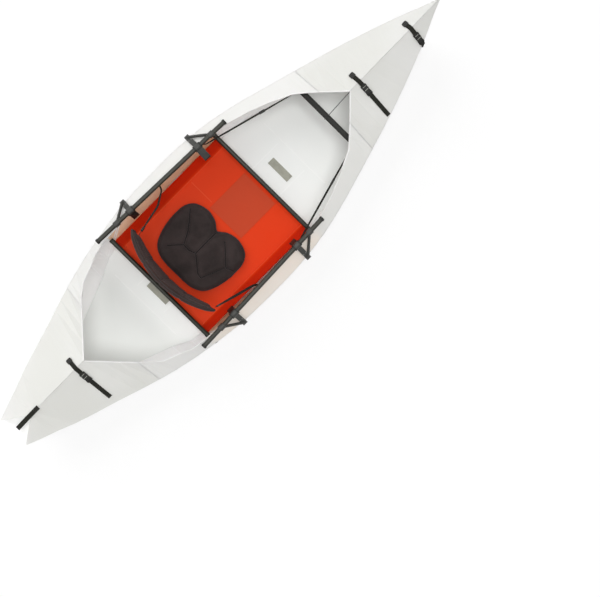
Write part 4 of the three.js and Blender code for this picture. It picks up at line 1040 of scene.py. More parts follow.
def rivetTree():
    # A domed head over a flat washer at each point, facing the way the point's own vector says
    tree = Repeat("rivets", Radius="Float", Height="Float", Finish="Material")
    facing = tree.add("GeometryNodeInputNamedAttribute", {"data_type": "FLOAT_VECTOR"}, {"Name": "facing"})
    dome = tree.add("GeometryNodeMeshUVSphere", values={"Segments": 16, "Rings": 8, "Radius": 1.0})
    washer = tree.add("GeometryNodeMeshCylinder", values={"Vertices": 20, "Radius": 1.45, "Depth": 0.5})
    both = tree.add("GeometryNodeJoinGeometry", values={0: dome})
    tree.tree.links.new(washer, both.node.inputs[0])
    return tree.instances(tree.given["Geometry"], both, facing, tree.given["Radius"], tree.given["Height"])


def ribTree():
    # Straight ribs side by side, each as long as Length along Across
    tree = Repeat("grip_ribs", Count="Int", Start="Vector", Step="Vector", Across="Vector", Length="Float",
                  Radius="Float", Finish="Material")
    given = tree.given
    row = tree.add("GeometryNodeMeshLine", {"mode": "OFFSET"},
                   {"Count": given["Count"], "Start Location": given["Start"], "Offset": given["Step"]})
    rib = tree.add("GeometryNodeMeshCylinder", values={"Vertices": 8, "Radius": 1.0, "Depth": 1.0})
    return tree.instances(row, rib, given["Across"], given["Radius"], given["Length"])


stitches = stitchTree()
rivets = rivetTree()
ribs = ribTree()


def sewn(name, paths, look, body, pitch, length, radius):
    # Stitches along several polylines, in millimetres
    points, edges = [], []
    for path in paths:
        start = len(points)
        points.extend(tuple(Vector(point) * mm) for point in path)
        edges.extend((i, i + 1) for i in range(start, len(points) - 1))
    mesh = bpy.data.meshes.new(name)
    mesh.from_pydata(points, edges, [])
    values = {"Pitch": pitch * mm, "Length": length * mm, "Radius": radius * mm, "Finish": look[0]}
    settle(stitches.along(name, mesh, **values), look, body, smooth=180)


def riveted(name, places, look, body, radius, height, side=1):
    # Rivet heads at (point, facing) places
    mesh = bpy.data.meshes.new(name)
    mesh.from_pydata([tuple(Vector(point) * mm) for point, _ in places], [], [])
    facing = mesh.attributes.new("facing", "FLOAT_VECTOR", "POINT")
    for i, (_, normal) in enumerate(places):
        facing.data[i].vector = Vector(normal)
    heads = rivets.along(name, mesh, Radius=radius * mm, Height=height * mm, Finish=look[0])
    settle(sided(heads, side), look, body)


def ribbed(name, start, step, across, count, length, radius, look, body):
    bars = ribs.along(name, bpy.data.meshes.new(name), Count=count, Start=tuple(Vector(start) * mm),
                      Step=tuple(Vector(step) * mm), Across=tuple(across), Length=length * mm, Radius=radius * mm,
                      Finish=look[0])
    settle(bars, look, body, smooth=60)


# Tether: the cord that holds the footrest forward, taut between the bar and its knot

tetherPlan = {"start": (682.4, 0, 170), "knotAt": 816, "radius": 1.6, "sag": 2.2, "points": 20,
              "bar": (667, 0, 170), "loop": 15.6, "loopRadius": 1.5, "knotBelow": 5, "knotRadius": 1.7,
              "knotSize": 4.6, "knotAcross": 0.55, "knotHigh": 0.42, "lobes": 3, "lobe": 0.35}


def tetherCord():
    plan = tetherPlan
    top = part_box("footrest_tether")[1][2] / mm
    start, knot = Vector(plan["start"]), Vector((plan["knotAt"], 0, top - plan["knotBelow"]))
    path = []
    for i in range(plan["points"]):
        t = i / (plan["points"] - 1)
        path.append(start.lerp(knot, t) - Vector((0, 0, plan["sag"] * 4 * t * (1 - t))))
    cord = tubeAlong("tether_cord", path, plan["radius"])
    settle(cord, braided, None, "footrest_tether", 180)
    bar, reach = plan["bar"], plan["loop"]
    ring = [Vector((bar[0] + reach * math.cos(a), 0, bar[2] + reach * math.sin(a))) for a in angles(36)]
    loop = tubeAlong("tether_loop", ring, plan["loopRadius"], ring=True)
    settle(loop, braided, "footrest", "footrest_tether", 180)
    across, high = plan["knotSize"] * plan["knotAcross"], plan["knotSize"] * plan["knotHigh"]
    turns = []
    for a in angles(60):
        out = across * (1 + plan["lobe"] * math.cos(plan["lobes"] * a))
        turns.append(knot + Vector((out * math.cos(a), out * math.sin(a), high * math.sin(plan["lobes"] * a))))
    tied = tubeAlong("tether_knot", turns, plan["knotRadius"], ring=True)
    settle(tied, braided, "root", "footrest_tether", 180)
    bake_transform(cord, "footrest", "root", start=tuple(path[0] * mm), end=tuple(path[-1] * mm))
    length = sum((b - a).length for a, b in zip(path, path[1:]))
    tuple(path[0] * mm)
    plan["radius"] * 2 * mm
    [tuple(point * mm) for point in path]
    print("tether:", round(length), "mm")


tetherCord()


# Seat pad: two-lobed cushion, puffed by cloth, then its seams drawn in and stitched

padPlan = {
    "centre": (-190, 0), "size": (338, 423), "level": 10.9, "thickness": 37.5,
    "outline": [(-0.5, 0), (-0.486, 0.227), (-0.401, 0.375), (-0.246, 0.449), (-0.035, 0.491), (0.176, 0.5),
                (0.331, 0.477), (0.444, 0.398), (0.5, 0.25), (0.472, 0.114), (0.408, 0.034), (0.38, 0)],
    "rings": [(0.6, 0), (0.88, 0.02), (0.95, 0.1), (0.985, 0.25), (1, 0.45), (0.99, 0.62), (0.965, 0.77),
              (0.92, 0.87), (0.84, 0.93), (0.72, 0.97), (0.58, 0.99), (0.44, 1), (0.3, 1), (0.15, 1)],
    "seams": [
        [(-78, -3), (-140, -2), (-214, -3)],
        [(-79, -63), (-120, -108), (-162, -150), (-152, -178), (-142, -203)],
        [(-162, -150), (-220, -128), (-280, -102)],
        [(-280, -102), (-276, -78), (-240, -34), (-214, -3)],
        [(-83, 163), (-124, 128), (-168, 95), (-225, 66)],
        [(-225, 66), (-250, 90), (-282, 118)],
        [(-225, 66), (-226, 30), (-214, -3)],
    ],
    "dashed": [2], "grooveDepth": 3.4, "grooveHalf": 5.5, "rim": 2.3, "start": 0.985, "fill": 0.6,
    "voxel": 5.0, "pressure": 4.0, "cap": 6.5, "roof": 50.5, "underRoof": 4, "crown": 1.6, "crownFrom": 6,
    "crownRun": 45, "seamHalf": 3.6, "thread": {"pitch": 5.5, "length": 3.8, "radius": 0.5}, "threadLift": 0.25,
}


clothFrames = 20
pressedBack = 0.8  # of what stands over the highest level


def smoothed(piece, voxel):
    # The piece remeshed in even voxels, its steps smoothed out
    even = piece.modifiers.new("even", "REMESH")
    even.mode = "VOXEL"
    even.voxel_size = voxel * mm
    soft = piece.modifiers.new("soft", "SMOOTH")
    soft.factor = 0.5
    soft.iterations = 4
    return baked(piece)


def coordsOf(piece):
    flat = np.empty(len(piece.data.vertices) * 3)
    piece.data.vertices.foreach_get("co", flat)
    return flat.reshape(-1, 3) / mm


def setCoords(piece, coords):
    piece.data.vertices.foreach_set("co", (coords * mm).ravel())
    piece.data.update()


def normalsOf(piece):
    flat = np.empty(len(piece.data.vertices) * 3)
    piece.data.vertex_normals.foreach_get("vector", flat)
    return flat.reshape(-1, 3)


def puffed(piece, plan, lowest=None, highest=None):
    # Cloth under pressure, then no point further from its place than the cap
    rest = coordsOf(piece)
    cloth = piece.modifiers.new("puff", "CLOTH")
    cloth.settings.use_pressure = True
    cloth.settings.uniform_pressure_force = plan["pressure"]
    cloth.settings.effector_weights.gravity = 0
    for step in range(1, clothFrames + 1):
        bpy.context.scene.frame_set(step)
    baked(piece)
    bpy.context.scene.frame_set(1)
    shift = coordsOf(piece) - rest
    length = np.linalg.norm(shift, axis=1, keepdims=True)
    rest = rest + shift * np.minimum(1, plan["cap"] / np.maximum(length, 1e-9))
    if lowest is not None:
        rest[:, 2] = np.maximum(rest[:, 2], lowest)
    if highest is not None:
        rest[:, 2] -= np.maximum(rest[:, 2] - highest, 0) * pressedBack
    setCoords(piece, rest)
    return piece


def halved(piece):
    # One subdivision, so that seams and folds have faces to lie in
    finer = piece.modifiers.new("finer", "SUBSURF")
    finer.levels = 1
    finer.render_levels = 1
    return baked(piece)


def farFromLines(flat, lines):
    # How far each place is from the nearest of several polylines
    nearest = np.full(len(flat), 1e9)
    for line in lines:
        for start, end in zip(line, line[1:]):
            a, run = np.array(start, float), np.array(end, float) - np.array(start, float)
            t = np.clip((flat - a) @ run / (run @ run), 0, 1)
            nearest = np.minimum(nearest, np.linalg.norm(flat - a - t[:, None] * run, axis=1))
    return nearest


def padShell():
    plan = padPlan
    length, width = plan["size"]
    other = [(a, -b) for a, b in plan["outline"][1:-1][::-1]]
    outline = catmull([(a * length, b * width, 0) for a, b in plan["outline"] + other], 96, closed=True)
    centre = Vector((*plan["centre"], plan["level"]))
    loops = []
    for out, up in plan["rings"]:
        out *= plan["start"]
        loops.append([centre + Vector((p.x * out, p.y * out, up * plan["thickness"])) for p in outline])
    return loft("seat_pad_cover", loops), outline, centre


def seatPad():
    plan = padPlan
    pad, outline, centre = padShell()
    smoothed(pad, plan["voxel"])
    puffed(pad, plan, lowest=plan["level"], highest=plan["roof"] - plan["underRoof"])
    halved(pad)
    coords, normals = coordsOf(pad), normalsOf(pad)
    top = np.clip((normals[:, 2] - 0.2) / 0.4, 0, 1)
    near = farFromLines(coords[:, :2], plan["seams"])
    groove = plan["grooveDepth"] * np.exp(-(near / plan["grooveHalf"]) ** 2)
    crown = plan["crown"] * np.clip((near - plan["crownFrom"]) / plan["crownRun"], 0, 1)
    coords[:, 2] += top * (crown - groove)
    coords[:, 2] = np.clip(coords[:, 2], plan["level"], plan["roof"])
    setCoords(pad, coords)
    body = bodyOf("seat_pad")
    settle(pad, (seatFinish("seat_fabric", plan["seams"]), "seat_fabric"), body, "seat_pad", 180)
    surface = surfaceOf(pad)
    outs = [Vector((p.x, p.y, 0)).normalized() for p in outline]
    rise = Vector((0, 0, plan["thickness"] * 0.6))
    rim = placesOn(surface, [(centre + out * 400 + rise, -out) for out in outs])
    settle(tubeAlong("seat_pad_piping", rim, plan["rim"], ring=True), piping, body, smooth=180)
    paths = []
    for index, seam in enumerate(plan["seams"]):
        dense = catmull([(x, y, 0) for x, y in seam], max(4, int(farRun(seam) / 6)))
        for shift in ((0,) if index in plan["dashed"] else (-plan["seamHalf"], plan["seamHalf"])):
            rays = []
            for i, p in enumerate(dense):
                ahead = dense[min(i + 1, len(dense) - 1)] - dense[max(i - 1, 0)]
                side = Vector((-ahead.y, ahead.x, 0)).normalized() * shift
                rays.append((p + side + Vector((0, 0, 200)), (0, 0, -1)))
            path = placesOn(surface, rays, plan["threadLift"])
            if len(path) > 2:
                paths.append(path)
    sewn("seat_pad_stitches", paths, padThread, body, **plan["thread"])
    print("seat pad:", len(pad.data.vertices), "points")


def farRun(line):
    return sum(math.dist(a, b) for a, b in zip(line, line[1:]))


seatPad()

# Backrest: an upright band with swept wings, channels down its face and piping round its rim

backPlan = {
    "half": 267, "x": -400, "sweep": 75, "thick": 23, "endThick": 10, "top": 388, "topFall": 80,
    "bottom": 10.9, "bottomRise": 160, "bottomPower": 1.6, "endShare": 0.8, "endClose": 0.75,
    "channels": (-0.42, 0, 0.42), "grooveDepth": 3.4, "grooveHalf": 7, "rim": 2.0, "fill": 0.65,
    "voxel": 6.0, "pressure": 4.0, "cap": 6.0, "start": 0.97, "facing": 16, "endRun": 0.12, "columns": 61,
    "rimSunk": 0.6, "seamHalf": 4, "seamEnd": 14, "thread": {"pitch": 6, "length": 4.2, "radius": 0.5},
    "threadLift": 0.25,
}


def backMiddle(share):
    # Lowest and highest height, half thickness and X of the backrest at a share of its half width
    plan = backPlan
    low = plan["bottom"] + plan["bottomRise"] * abs(share) ** plan["bottomPower"]
    high = plan["top"] - plan["topFall"] * share ** 2
    past = max(0, abs(share) - plan["endShare"]) / (1 - plan["endShare"])
    close = math.sqrt(1 - plan["endClose"] * past ** 2)
    radius = (plan["endThick"] + (plan["thick"] - plan["endThick"]) * (close * 2 - 1)) / 2
    middle, half = (low + high) / 2, (high - low) / 2 * close
    return middle, half, radius, plan["x"] + plan["sweep"] * share ** 2


def backShell():
    plan = backPlan
    loops = []
    for column in range(plan["columns"]):
        share = (column / (plan["columns"] - 1) * 2 - 1) * 0.998
        middle, half, radius, x = backMiddle(share)
        radius *= plan["start"]
        straight = half - radius
        loop = []
        for end in (1, -1):
            for step in range(7):
                angle = (step - 3) * math.pi / 6
                loop.append((x + end * math.sin(angle) * radius, share * plan["half"],
                             middle + end * (straight + math.cos(angle) * radius)))
            for row in range(1, 8):
                loop.append((x + end * radius, share * plan["half"], middle + end * straight * (1 - 2 * row / 8)))
        loops.append(loop)
    return loft("backrest_cover", loops)


def backrestPad():
    plan = backPlan
    pad = backShell()
    smoothed(pad, plan["voxel"])
    puffed(pad, plan, lowest=plan["bottom"])
    halved(pad)
    coords, normals = coordsOf(pad), normalsOf(pad)
    share = coords[:, 1] / plan["half"]
    near = np.min([np.abs(share - seam) * plan["half"] for seam in plan["channels"]], axis=0)
    fading = np.clip((1 - np.abs(share)) / plan["endRun"], 0, 1)
    groove = plan["grooveDepth"] * np.exp(-(near / plan["grooveHalf"]) ** 2) * fading
    coords[:, 0] -= np.sign(normals[:, 0]) * np.clip(np.abs(normals[:, 0]) * 2 - 0.6, 0, 1) * groove
    coords[:, 2] = np.maximum(coords[:, 2], plan["bottom"])
    setCoords(pad, coords)
    body = bodyOf("backrest")
    settle(pad, backFabric, body, "backrest", 180)
    surface = surfaceOf(pad)
    rim = []
    for end in (1, -1):
        rays = []
        for share in np.linspace(-0.985, 0.985, 90) * end:
            middle, half, radius, x = backMiddle(share)
            rays.append(((x, share * plan["half"], middle + end * 400), (0, 0, -end)))
        rim += placesOn(surface, rays, -plan["rimSunk"])
    for point in rim:
        point.z = max(point.z, plan["bottom"] + plan["rim"])
    cord = tubeAlong("backrest_piping", catmull(rim, 220, closed=True), plan["rim"], ring=True)
    settle(cord, piping, body, smooth=180)
    paths = []
    for facing in (1, -1):
        back = (-facing, 0, 0)
        for seam in plan["channels"]:
            middle, half, radius, x = backMiddle(seam)
            heights = np.linspace(middle - half + plan["seamEnd"], middle + half - plan["seamEnd"], 40)
            for shift in (-plan["seamHalf"], plan["seamHalf"]):
                rays = [((x + facing * 200, seam * plan["half"] + shift, z), back) for z in heights]
                paths.append(placesOn(surface, rays, plan["threadLift"]))
        rays = []
        for share in np.linspace(-0.9, 0.9, 90):
            middle, half, radius, x = backMiddle(share)
            rays.append(((x + facing * 200, share * plan["half"], middle + half - plan["facing"]), back))
        paths.append(placesOn(surface, rays, plan["threadLift"]))
    sewn("backrest_stitches", paths, backThread, body, **plan["thread"])
    print("backrest:", len(pad.data.vertices), "points")


backrestPad()

# Footrest bar: a foam sleeve with pressed ends

footPlan = {"x": 667, "radius": 13.6, "half": 189.5, "fill": 0.9, "rings": 60, "pressed": (180, 5, 1.1),
            "waist": (4, 0.7), "uneven": 0.18}


def footrestBar():
    plan = footPlan
    low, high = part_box("footrest_bar")
    height = (low[2] + high[2]) / 2 / mm
    r, end = plan["radius"], plan["half"]
    profile = [(0.5, -end + 1.5), (r - 7, -end + 1.4), (r - 5.5, -end), (r - 4, -end), (r - 1.2, 1.4 - end),
               (r - 0.2, 4 - end)]
    (pressedAt, pressedRun, pressed), (waistRun, waist) = plan["pressed"], plan["waist"]
    for i in range(1, plan["rings"]):
        run = -end + 4 + (2 * end - 8) * i / plan["rings"]
        dent = (pressed * math.exp(-((abs(run) - pressedAt) / pressedRun) ** 2)
                + waist * math.exp(-(run / waistRun) ** 2))
        profile.append((r - dent + plan["uneven"] * math.sin(run * 0.21) * math.sin(run * 0.057), run))
    profile += [(radius, -run) for radius, run in profile[5::-1]]
    bar = turned("footrest_bar_foam", profile, (plan["x"], 0, height), (0, 1, 0), around=32)
    settle(bar, foam, bodyOf("footrest_bar"), "footrest_bar", 180)
    return height


footHeight = footrestBar()
print("footrest bar")

# Moulded and metal pieces that keep their CAD form, with softened edges

edgeLook = {"bumper": 1.4, "bracket": 1.3, "latch": 0.8, "rail_cap": 0.9, "crossbar": 0.7, "foot_bolt": 0.5}


def dressed(node, kind, look):
    settle(softened(node, edgeLook[kind]), look, bodyOf(node), node, 38)


def hardPieces():
    for end in ("bow", "stern"):
        dressed(f"{end}_bumper", "bumper", moulding)
    for tail in ends:
        looks = {"bracket": bracketPaint, "latch": moulding, "rail_cap": moulding, "foot_bolt": steel}
        for kind, look in looks.items():
            dressed(f"{kind}_{tail}", kind, look)
    for name in sides:
        paint(f"rail_tube_{name}", tubePaint[0])
    for end in ("front", "rear"):
        dressed(f"crossbar_{end}", "crossbar", tubePaint)


hardPieces()
print("mouldings")

# Slivers of sheet in the slits between the deck strips' ends and the flaps beyond them

fillPlan = {"sunk": 0.3, "clear": 0.12, "endRun": 0.05}


def foldFills():
    plan = fillPlan
    for name in sides:
        strip = nodes[f"deck_strip_{name}"]
        corners = [vertex.co / mm for vertex in strip.data.vertices]
        pieces = []
        for place, toBow in (("bow", 1), ("stern", -1)):
            end = max(toBow * corner.x for corner in corners)
            flap = nodes[f"{place}_deck_{name}"].data.vertices
            reach = min(toBow * vertex.co.x for vertex in flap) / mm - end - plan["clear"]
            ring = {tuple(round(part, 2) for part in corner) for corner in corners
                    if toBow * corner.x > end - plan["endRun"]}
            middle = sum((Vector(corner) for corner in ring), Vector()) / len(ring)
            ring = sorted(ring, key=lambda corner: math.atan2(corner[2] - middle[2], corner[1] - middle[1]))
            near = [Vector((x, y, z - plan["sunk"])) for x, y, z in ring]
            pieces.append(loft("sliver", [near, [corner + Vector((toBow * reach, 0, 0)) for corner in near]]))
            print(f"{place} slit at {name}: {reach:.2f} mm filled, {len(ring)} corners")
        sheet = strip.material_slots[0].material, "hull_sheet"
        settle(joined(f"fold_fill_{name}", pieces), sheet, "root", smooth=35)


foldFills()

# Side disc: a domed stud on the starboard side

discPlan = {"centre": (-437, 129), "lift": 0.35,
            "profile": [(0.3, 0), (14, 0), (14, 1.1), (12.6, 1.9), (9.6, 2.1), (8.8, 1.5), (5.4, 1.5), (4.6, 2.2),
                        (0.3, 2.5)]}


def sideDisc():
    x, z = discPlan["centre"]
    surface = surfaceOf(nodes["hull_side_starboard"])
    place, normal = hitOn(surface, (x, -700, z), (0, 1, 0))
    disc = turned("side_disc_stud", discPlan["profile"], place + normal * discPlan["lift"], normal, around=40)
    settle(disc, steel, bodyOf("side_disc"), "side_disc")


sideDisc()

# Rivets of the bumpers, screws of the brackets

rivetPlan = {
    "bumperRows": {"bow": [(-44, -18), (-16, -46)], "stern": [(44, -18), (18, -44)]}, "bumper": (3.2, 1.1),
    "bracket": (2.6, 0.9), "legRises": (18, -18), "footShifts": (-8, 8), "footIn": 14, "facing": 0.3,
}


def bumperRivets():
    places = []
    for end, rows in rivetPlan["bumperRows"].items():
        node = f"{end}_bumper"
        low, high = (Vector(corner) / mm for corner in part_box(node))
        tip = high.x if end == "bow" else low.x
        rays = [((tip + along, side * 200, high.z + down), (0, -side, 0))
                for side in (1, -1) for along, down in rows]
        places += hitsOn(surfaceOf(nodes[node]), rays)
    riveted("bumper_rivets", places, steel, "root", *rivetPlan["bumper"])
    print("bumper rivets:", len(places))


def bracketRivets():
    plan, places = rivetPlan, []
    for tail in ends:
        side = sides[tail.split("_")[0]]
        x, y, z = (sum(pair) / 2 / mm for pair in zip(*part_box(f"foot_bolt_{tail}")))
        surface = surfaceOf(nodes[f"bracket_{tail}"])
        legs = [((x, side * 800, z + rise), (0, -side, 0)) for rise in plan["legRises"]]
        places += [(place, normal) for place, normal in hitsOn(surface, legs) if normal.y * side > plan["facing"]]
        inner = side * (abs(y) - plan["footIn"])
        places += hitsOn(surface, [((x + shift, inner, 500), (0, 0, -1)) for shift in plan["footShifts"]])
    riveted("bracket_screws", places, steel, "root", *plan["bracket"])


bumperRivets()
bracketRivets()
print("rivets")


# Straps. Points are (place, width direction)

webSize = {"width": 21, "backWidth": 25, "thickness": 2.0}
deckWebs = {
    "bow_front": {
        "port": [((1194, 32.7, 301), (0.989, -0.029, 0.142)), ((1194, 0, 320.5), (0.981, 0, 0.196)),
                 ((1194, -18.1, 309.7), (0.986, 0.014, 0.166)), ((1194, -30.5, 307), (0.99, -0.02, 0.11)),
                 ((1194, -35.6, 304), (0.998, -0.035, 0.059))],
        "tail": [((1194, -75.5, 280.1), (0.998, -0.035, 0.059)), ((1194, -80.7, 277.1), (0.998, -0.035, 0.059)),
                 ((1194, -91.9, 270.4), (0.891, 0.39, 0.231)), ((1194, -51.5, 146.3), (0.914, 0.336, 0.226))],
        "origin": (1194, -30.454, 307.024), "down": (0, -0.85886, -0.51221),
        "forward": (0.99765, -0.03507, 0.05881),
    },
    "bow_rear": {
        "port": [((869, 43.4, 260.5), (0.992, -0.005, 0.129)), ((869, 0, 277.8), (0.989, 0, 0.145)),
                 ((869, -9, 274.2), (0.99, 0.001, 0.141)), ((869, -21.7, 273.5), (0.992, -0.02, 0.12)),
                 ((869, -27.2, 271.3), (0.993, -0.043, 0.109))],
        "tail": [((869, -70.5, 254.1), (0.993, -0.043, 0.109)), ((869, -76, 251.9), (0.993, -0.043, 0.109)),
                 ((869, -85.7, 243.8), (0.993, 0.012, 0.114)), ((869, -199.6, 198.6), (0.997, 0.028, 0.074))],
        "origin": (869, -21.659, 273.484), "down": (0, -0.92962, -0.36851),
        "forward": (0.99315, -0.04305, 0.10861),
    },
    "stern": {
        "port": [((-960, 47.3, 247.3), (1, -0.002, 0.005)), ((-960, 0, 271), (1, 0, 0.005)),
                 ((-960, -18.7, 261.6), (1, -0.002, 0.006)), ((-960, -31.2, 259.8), (1, -0.003, 0.007)),
                 ((-960, -36.6, 257.1), (1, -0.004, 0.0086))],
        "tail": [((-960, -78.1, 236.3), (1, -0.004, 0.0086)), ((-960, -83.5, 233.6), (1, -0.004, 0.0086)),
                 ((-960, -92.4, 224.6), (0.9998, -0.01, 0.02)), ((-960, -198.3, 171.4), (0.999, -0.017, 0.034))],
        "origin": (-960, -31.201, 259.810), "down": (0, -0.89373, -0.44861),
        "forward": (0.99995, -0.0043, 0.00857),
    },
}
bucklePlan = {
    "width": 29, "male": 17, "gap": 0.5, "female": 41, "slide": 25, "slot": 11.1, "hollow": 12.6, "window": 9.8,
    "arm": [(14.5, 9.0, 2.2), (20, 9.2, 1.9), (25, 10.4, 2.0), (29, 11.8, 2.9), (35, 12.2, 3.0), (39, 10.6, 2.6),
            (41.5, 8.4, 1.4)],
    "armShare": 0.853, "armThick": 1.9, "armBulge": 0.3,
    "base": [(0, 2.5, 2.6), (0.8, 1, 3.6), (2.5, 0, 4), (13, 0, 4), (15.6, 0.8, 3.8), (17, 2.2, 3)],
    "slots": [(3.2, 6.2, 9), (9.0, 11.8, 9), (-3, 9.5, 1.6)],
    "prong": [(14, 3.2, 1.9), (30, 2.6, 1.8), (36, 1.8, 1.3)],
    "mouth": [(0, 1.6, 4.2), (1.4, 0.3, 5), (5, 0, 5), (12, 0.8, 5), (20, 1.3, 5), (27, 0.5, 5)],
    "heel": [(-8, 0, 4.6), (-2, 0.2, 4.0), (0, 1.6, 3)],
    "bars": {"pushed": (10.4, 3.3), "socket": (27.5, 4.7)}, "bar": (18, 1.3),
    "ribsAt": (46.5, 0, 4.7), "ribStep": 1.6, "rib": (17, 0.5),
}
platePlan = {
    "deck": [(-13, 8.5, 0.9, 1.6), (-12, 10.8, 1.5, 1.8), (-9.5, 12.6, 1.7, 1.9), (-6, 13.5, 1.7, 1.9),
             (7, 13.5, 1.7, 1.9), (10.5, 12.6, 1.7, 1.9), (12.4, 10.8, 1.5, 1.8), (13, 9.5, 0.9, 1.6)],
    "wall": [(-17, 12.5, 0.9), (-16, 14.4, 1.4), (-13, 15, 1.5), (13, 15, 1.5), (16, 14.4, 1.4), (17, 12.5, 0.9)],
    "post": [(0.3, 0.5), (6.5, 0.5), (6.5, 1.8), (4.5, 3.2), (4.3, 12.6), (5.2, 13.2), (5.2, 15.6), (4.4, 16.6),
             (0.3, 16.8)],
    "rivetAt": 3.5, "rivet": (4.2, 1.6), "screws": [(-11, -9), (11, 9)], "screwAt": 1.5, "screw": (2.2, 0.9),
}
boxStitch = {"inset": 3, "lift": 0.25, "thread": {"pitch": 3.6, "length": 2.6, "radius": 0.35}}


def webPiece(name, route, node, width=webSize["width"], bend=4, spacing=7):
    strap = ribbon(name, route, width, webSize["thickness"], bend, spacing)
    return settle(strap, webbing, bodyOf(node), node, 50)


def foldStitches(name, route, body, width, length, share):
    # A box of stitches with a cross, on the upper face of a strap near one end
    start, side = Vector(route[0][0]), Vector(route[0][1]).normalized()
    ahead = (Vector(route[1][0]) - start).normalized()
    off = ahead.cross(side).normalized()
    if off.z < 0:
        off = -off
    half = width / 2 - boxStitch["inset"]
    origin, rise = start + ahead * share, off * (webSize["thickness"] / 2 + boxStitch["lift"])
    a = origin + side * half + rise
    b = origin - side * half + rise
    c, d = a + ahead * length, b + ahead * length
    sewn(name, [[a, b, d, c, a], [a, d], [b, c]], webThread, body, **boxStitch["thread"])


def arm(side):
    # One springing arm of a male buckle half, ending in its press tab
    share, thick, bulge = (bucklePlan[name] for name in ("armShare", "armThick", "armBulge"))
    loops = []
    for x, y, half in bucklePlan["arm"]:
        y, half = y * share, half * share
        loops.append([(x, side * (y - half), -thick), (x, side * (y + half), -thick),
                      (x, side * (y + half + bulge), 0), (x, side * (y + half), thick),
                      (x, side * (y - half), thick), (x, side * (y - half - bulge), 0)])
    return loft("arm", loops)


def maleBuckle():
    plan = bucklePlan
    half, slot = plan["width"] / 2, plan["slot"]
    base = slab("base", [(x, half - less, high) for x, less, high in plan["base"]])
    carved(base, [((start, -slot, -high), (end, slot, high)) for start, end, high in plan["slots"]])
    return [base, slab("prong", plan["prong"]), arm(1), arm(-1)]


def femaleBuckle():
    plan = bucklePlan
    half, slot, hollow, window = plan["width"] / 2, plan["slot"], plan["hollow"], plan["window"]
    start = plan["male"] + plan["gap"]
    end = start + plan["female"]
    body = slab("body", [(base + x, half - less, high) for base, part in ((start, "mouth"), (end, "heel"))
                         for x, less, high in plan[part]], corner=10)
    # Mouth, side windows, the recess on its face, then the two slots and the way for the web
    carved(body, [((start - 2, -hollow, -2.6), (start + 25.5, hollow, 2.6), 0.5),
                  ((start + 7, window, -2.7), (start + 25, 30, 2.7), 0.6),
                  ((start + 7, -30, -2.7), (start + 25, -window, 2.7), 0.6),
                  ((start + 9, -4, 4.2), (start + 23, 4, 9), 0.6),
                  ((end - 13.5, -slot, -9), (end - 10.5, slot, 9)),
                  ((end - 6.6, -slot, -9), (end - 3.8, slot, 9)),
                  ((end - 9, -slot, -1.6), (end + 4, slot, 1.6))])
    return [body]


def deckStraps():
    size = bucklePlan
    for name, plan in deckWebs.items():
        place = frameAt(plan["origin"], plan["down"], plan["forward"])
        down, across = Vector(plan["down"]).normalized(), place.to_3x3() @ Vector((0, 1, 0))
        route = plan["port"]
        strap = webPiece(f"{name}_web_to_buckle", route, f"{name}_web_port")
        anchor = Vector(route[0][0])
        keep = 1 - size["slide"] / ((Vector(route[-1][0]) - anchor).dot(down) + 2)
        tuple(-down)
        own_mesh(strap)
        anchorPlate(name, route, bodyOf(f"{name}_web_port"))
        webPiece(f"{name}_web_loose_end", plan["tail"], f"{name}_web_tail")
        hem, tailBody = plan["tail"][:-3:-1], bodyOf(f"{name}_web_tail")
        foldStitches(f"{name}_hem_stitches", hem, tailBody, webSize["width"], 9, 3)
        male, female = f"{name}_buckle_male", f"{name}_buckle_female"
        for title, node, pieces in (("pushed", male, maleBuckle()), ("socket", female, femaleBuckle())):
            half = moved(joined(f"{name}_buckle_{title}_half", pieces), place)
            settle(half, moulding, bodyOf(node), node)
        # Painted highlight: a light-grey bar across each buckle half's slot stands for a glint
        for title, node in (("pushed", male), ("socket", female)):
            run, level = size["bars"][title]
            ribbed(f"{name}_buckle_{title}_bar", place @ Vector((run, 0, level)), down, across, 1, *size["bar"],
                   glintBar, bodyOf(node))
        ribbed(f"{name}_buckle_ribs", place @ Vector(size["ribsAt"]), down * size["ribStep"], across, 2,
               *size["rib"], moulding, bodyOf(female))


def anchorPlate(name, route, body):
    # The plate and rivet that hold a deck strap's fixed end
    place = frameAt(route[0][0], Vector(route[1][0]) - Vector(route[0][0]), Vector(route[0][1]).normalized())
    plate = moved(slab(f"{name}_anchor_plate", platePlan["deck"]), place)
    settle(plate, moulding, body, f"{name}_web_port")
    head = (place @ Vector((0, 0, platePlan["rivetAt"])), place.to_3x3() @ Vector((0, 0, 1)))
    riveted(f"{name}_anchor_rivet", [head], moulding, body, *platePlan["rivet"])


deckStraps()

endStrapPlan = {"width": 22, "route": [((-1206, 0, 262.9), (0, 1, 0)), ((-1259, 0, 252.6), (0, 1, 0)),
                                       ((-1289, 0, 252.6), (0, 1, 0)), ((-1350, 0, 231), (0, 1, 0))]}


def endStrap():
    route, width, node = endStrapPlan["route"], endStrapPlan["width"], "stern_end_strap"
    webPiece("stern_ridge_strap", route, node, width, 8)
    foldStitches("stern_ridge_stitches", route, bodyOf(node), width, 24, 4)


endStrap()
print("deck straps")

# Straps of the backrest and the footrest, with their wall anchors

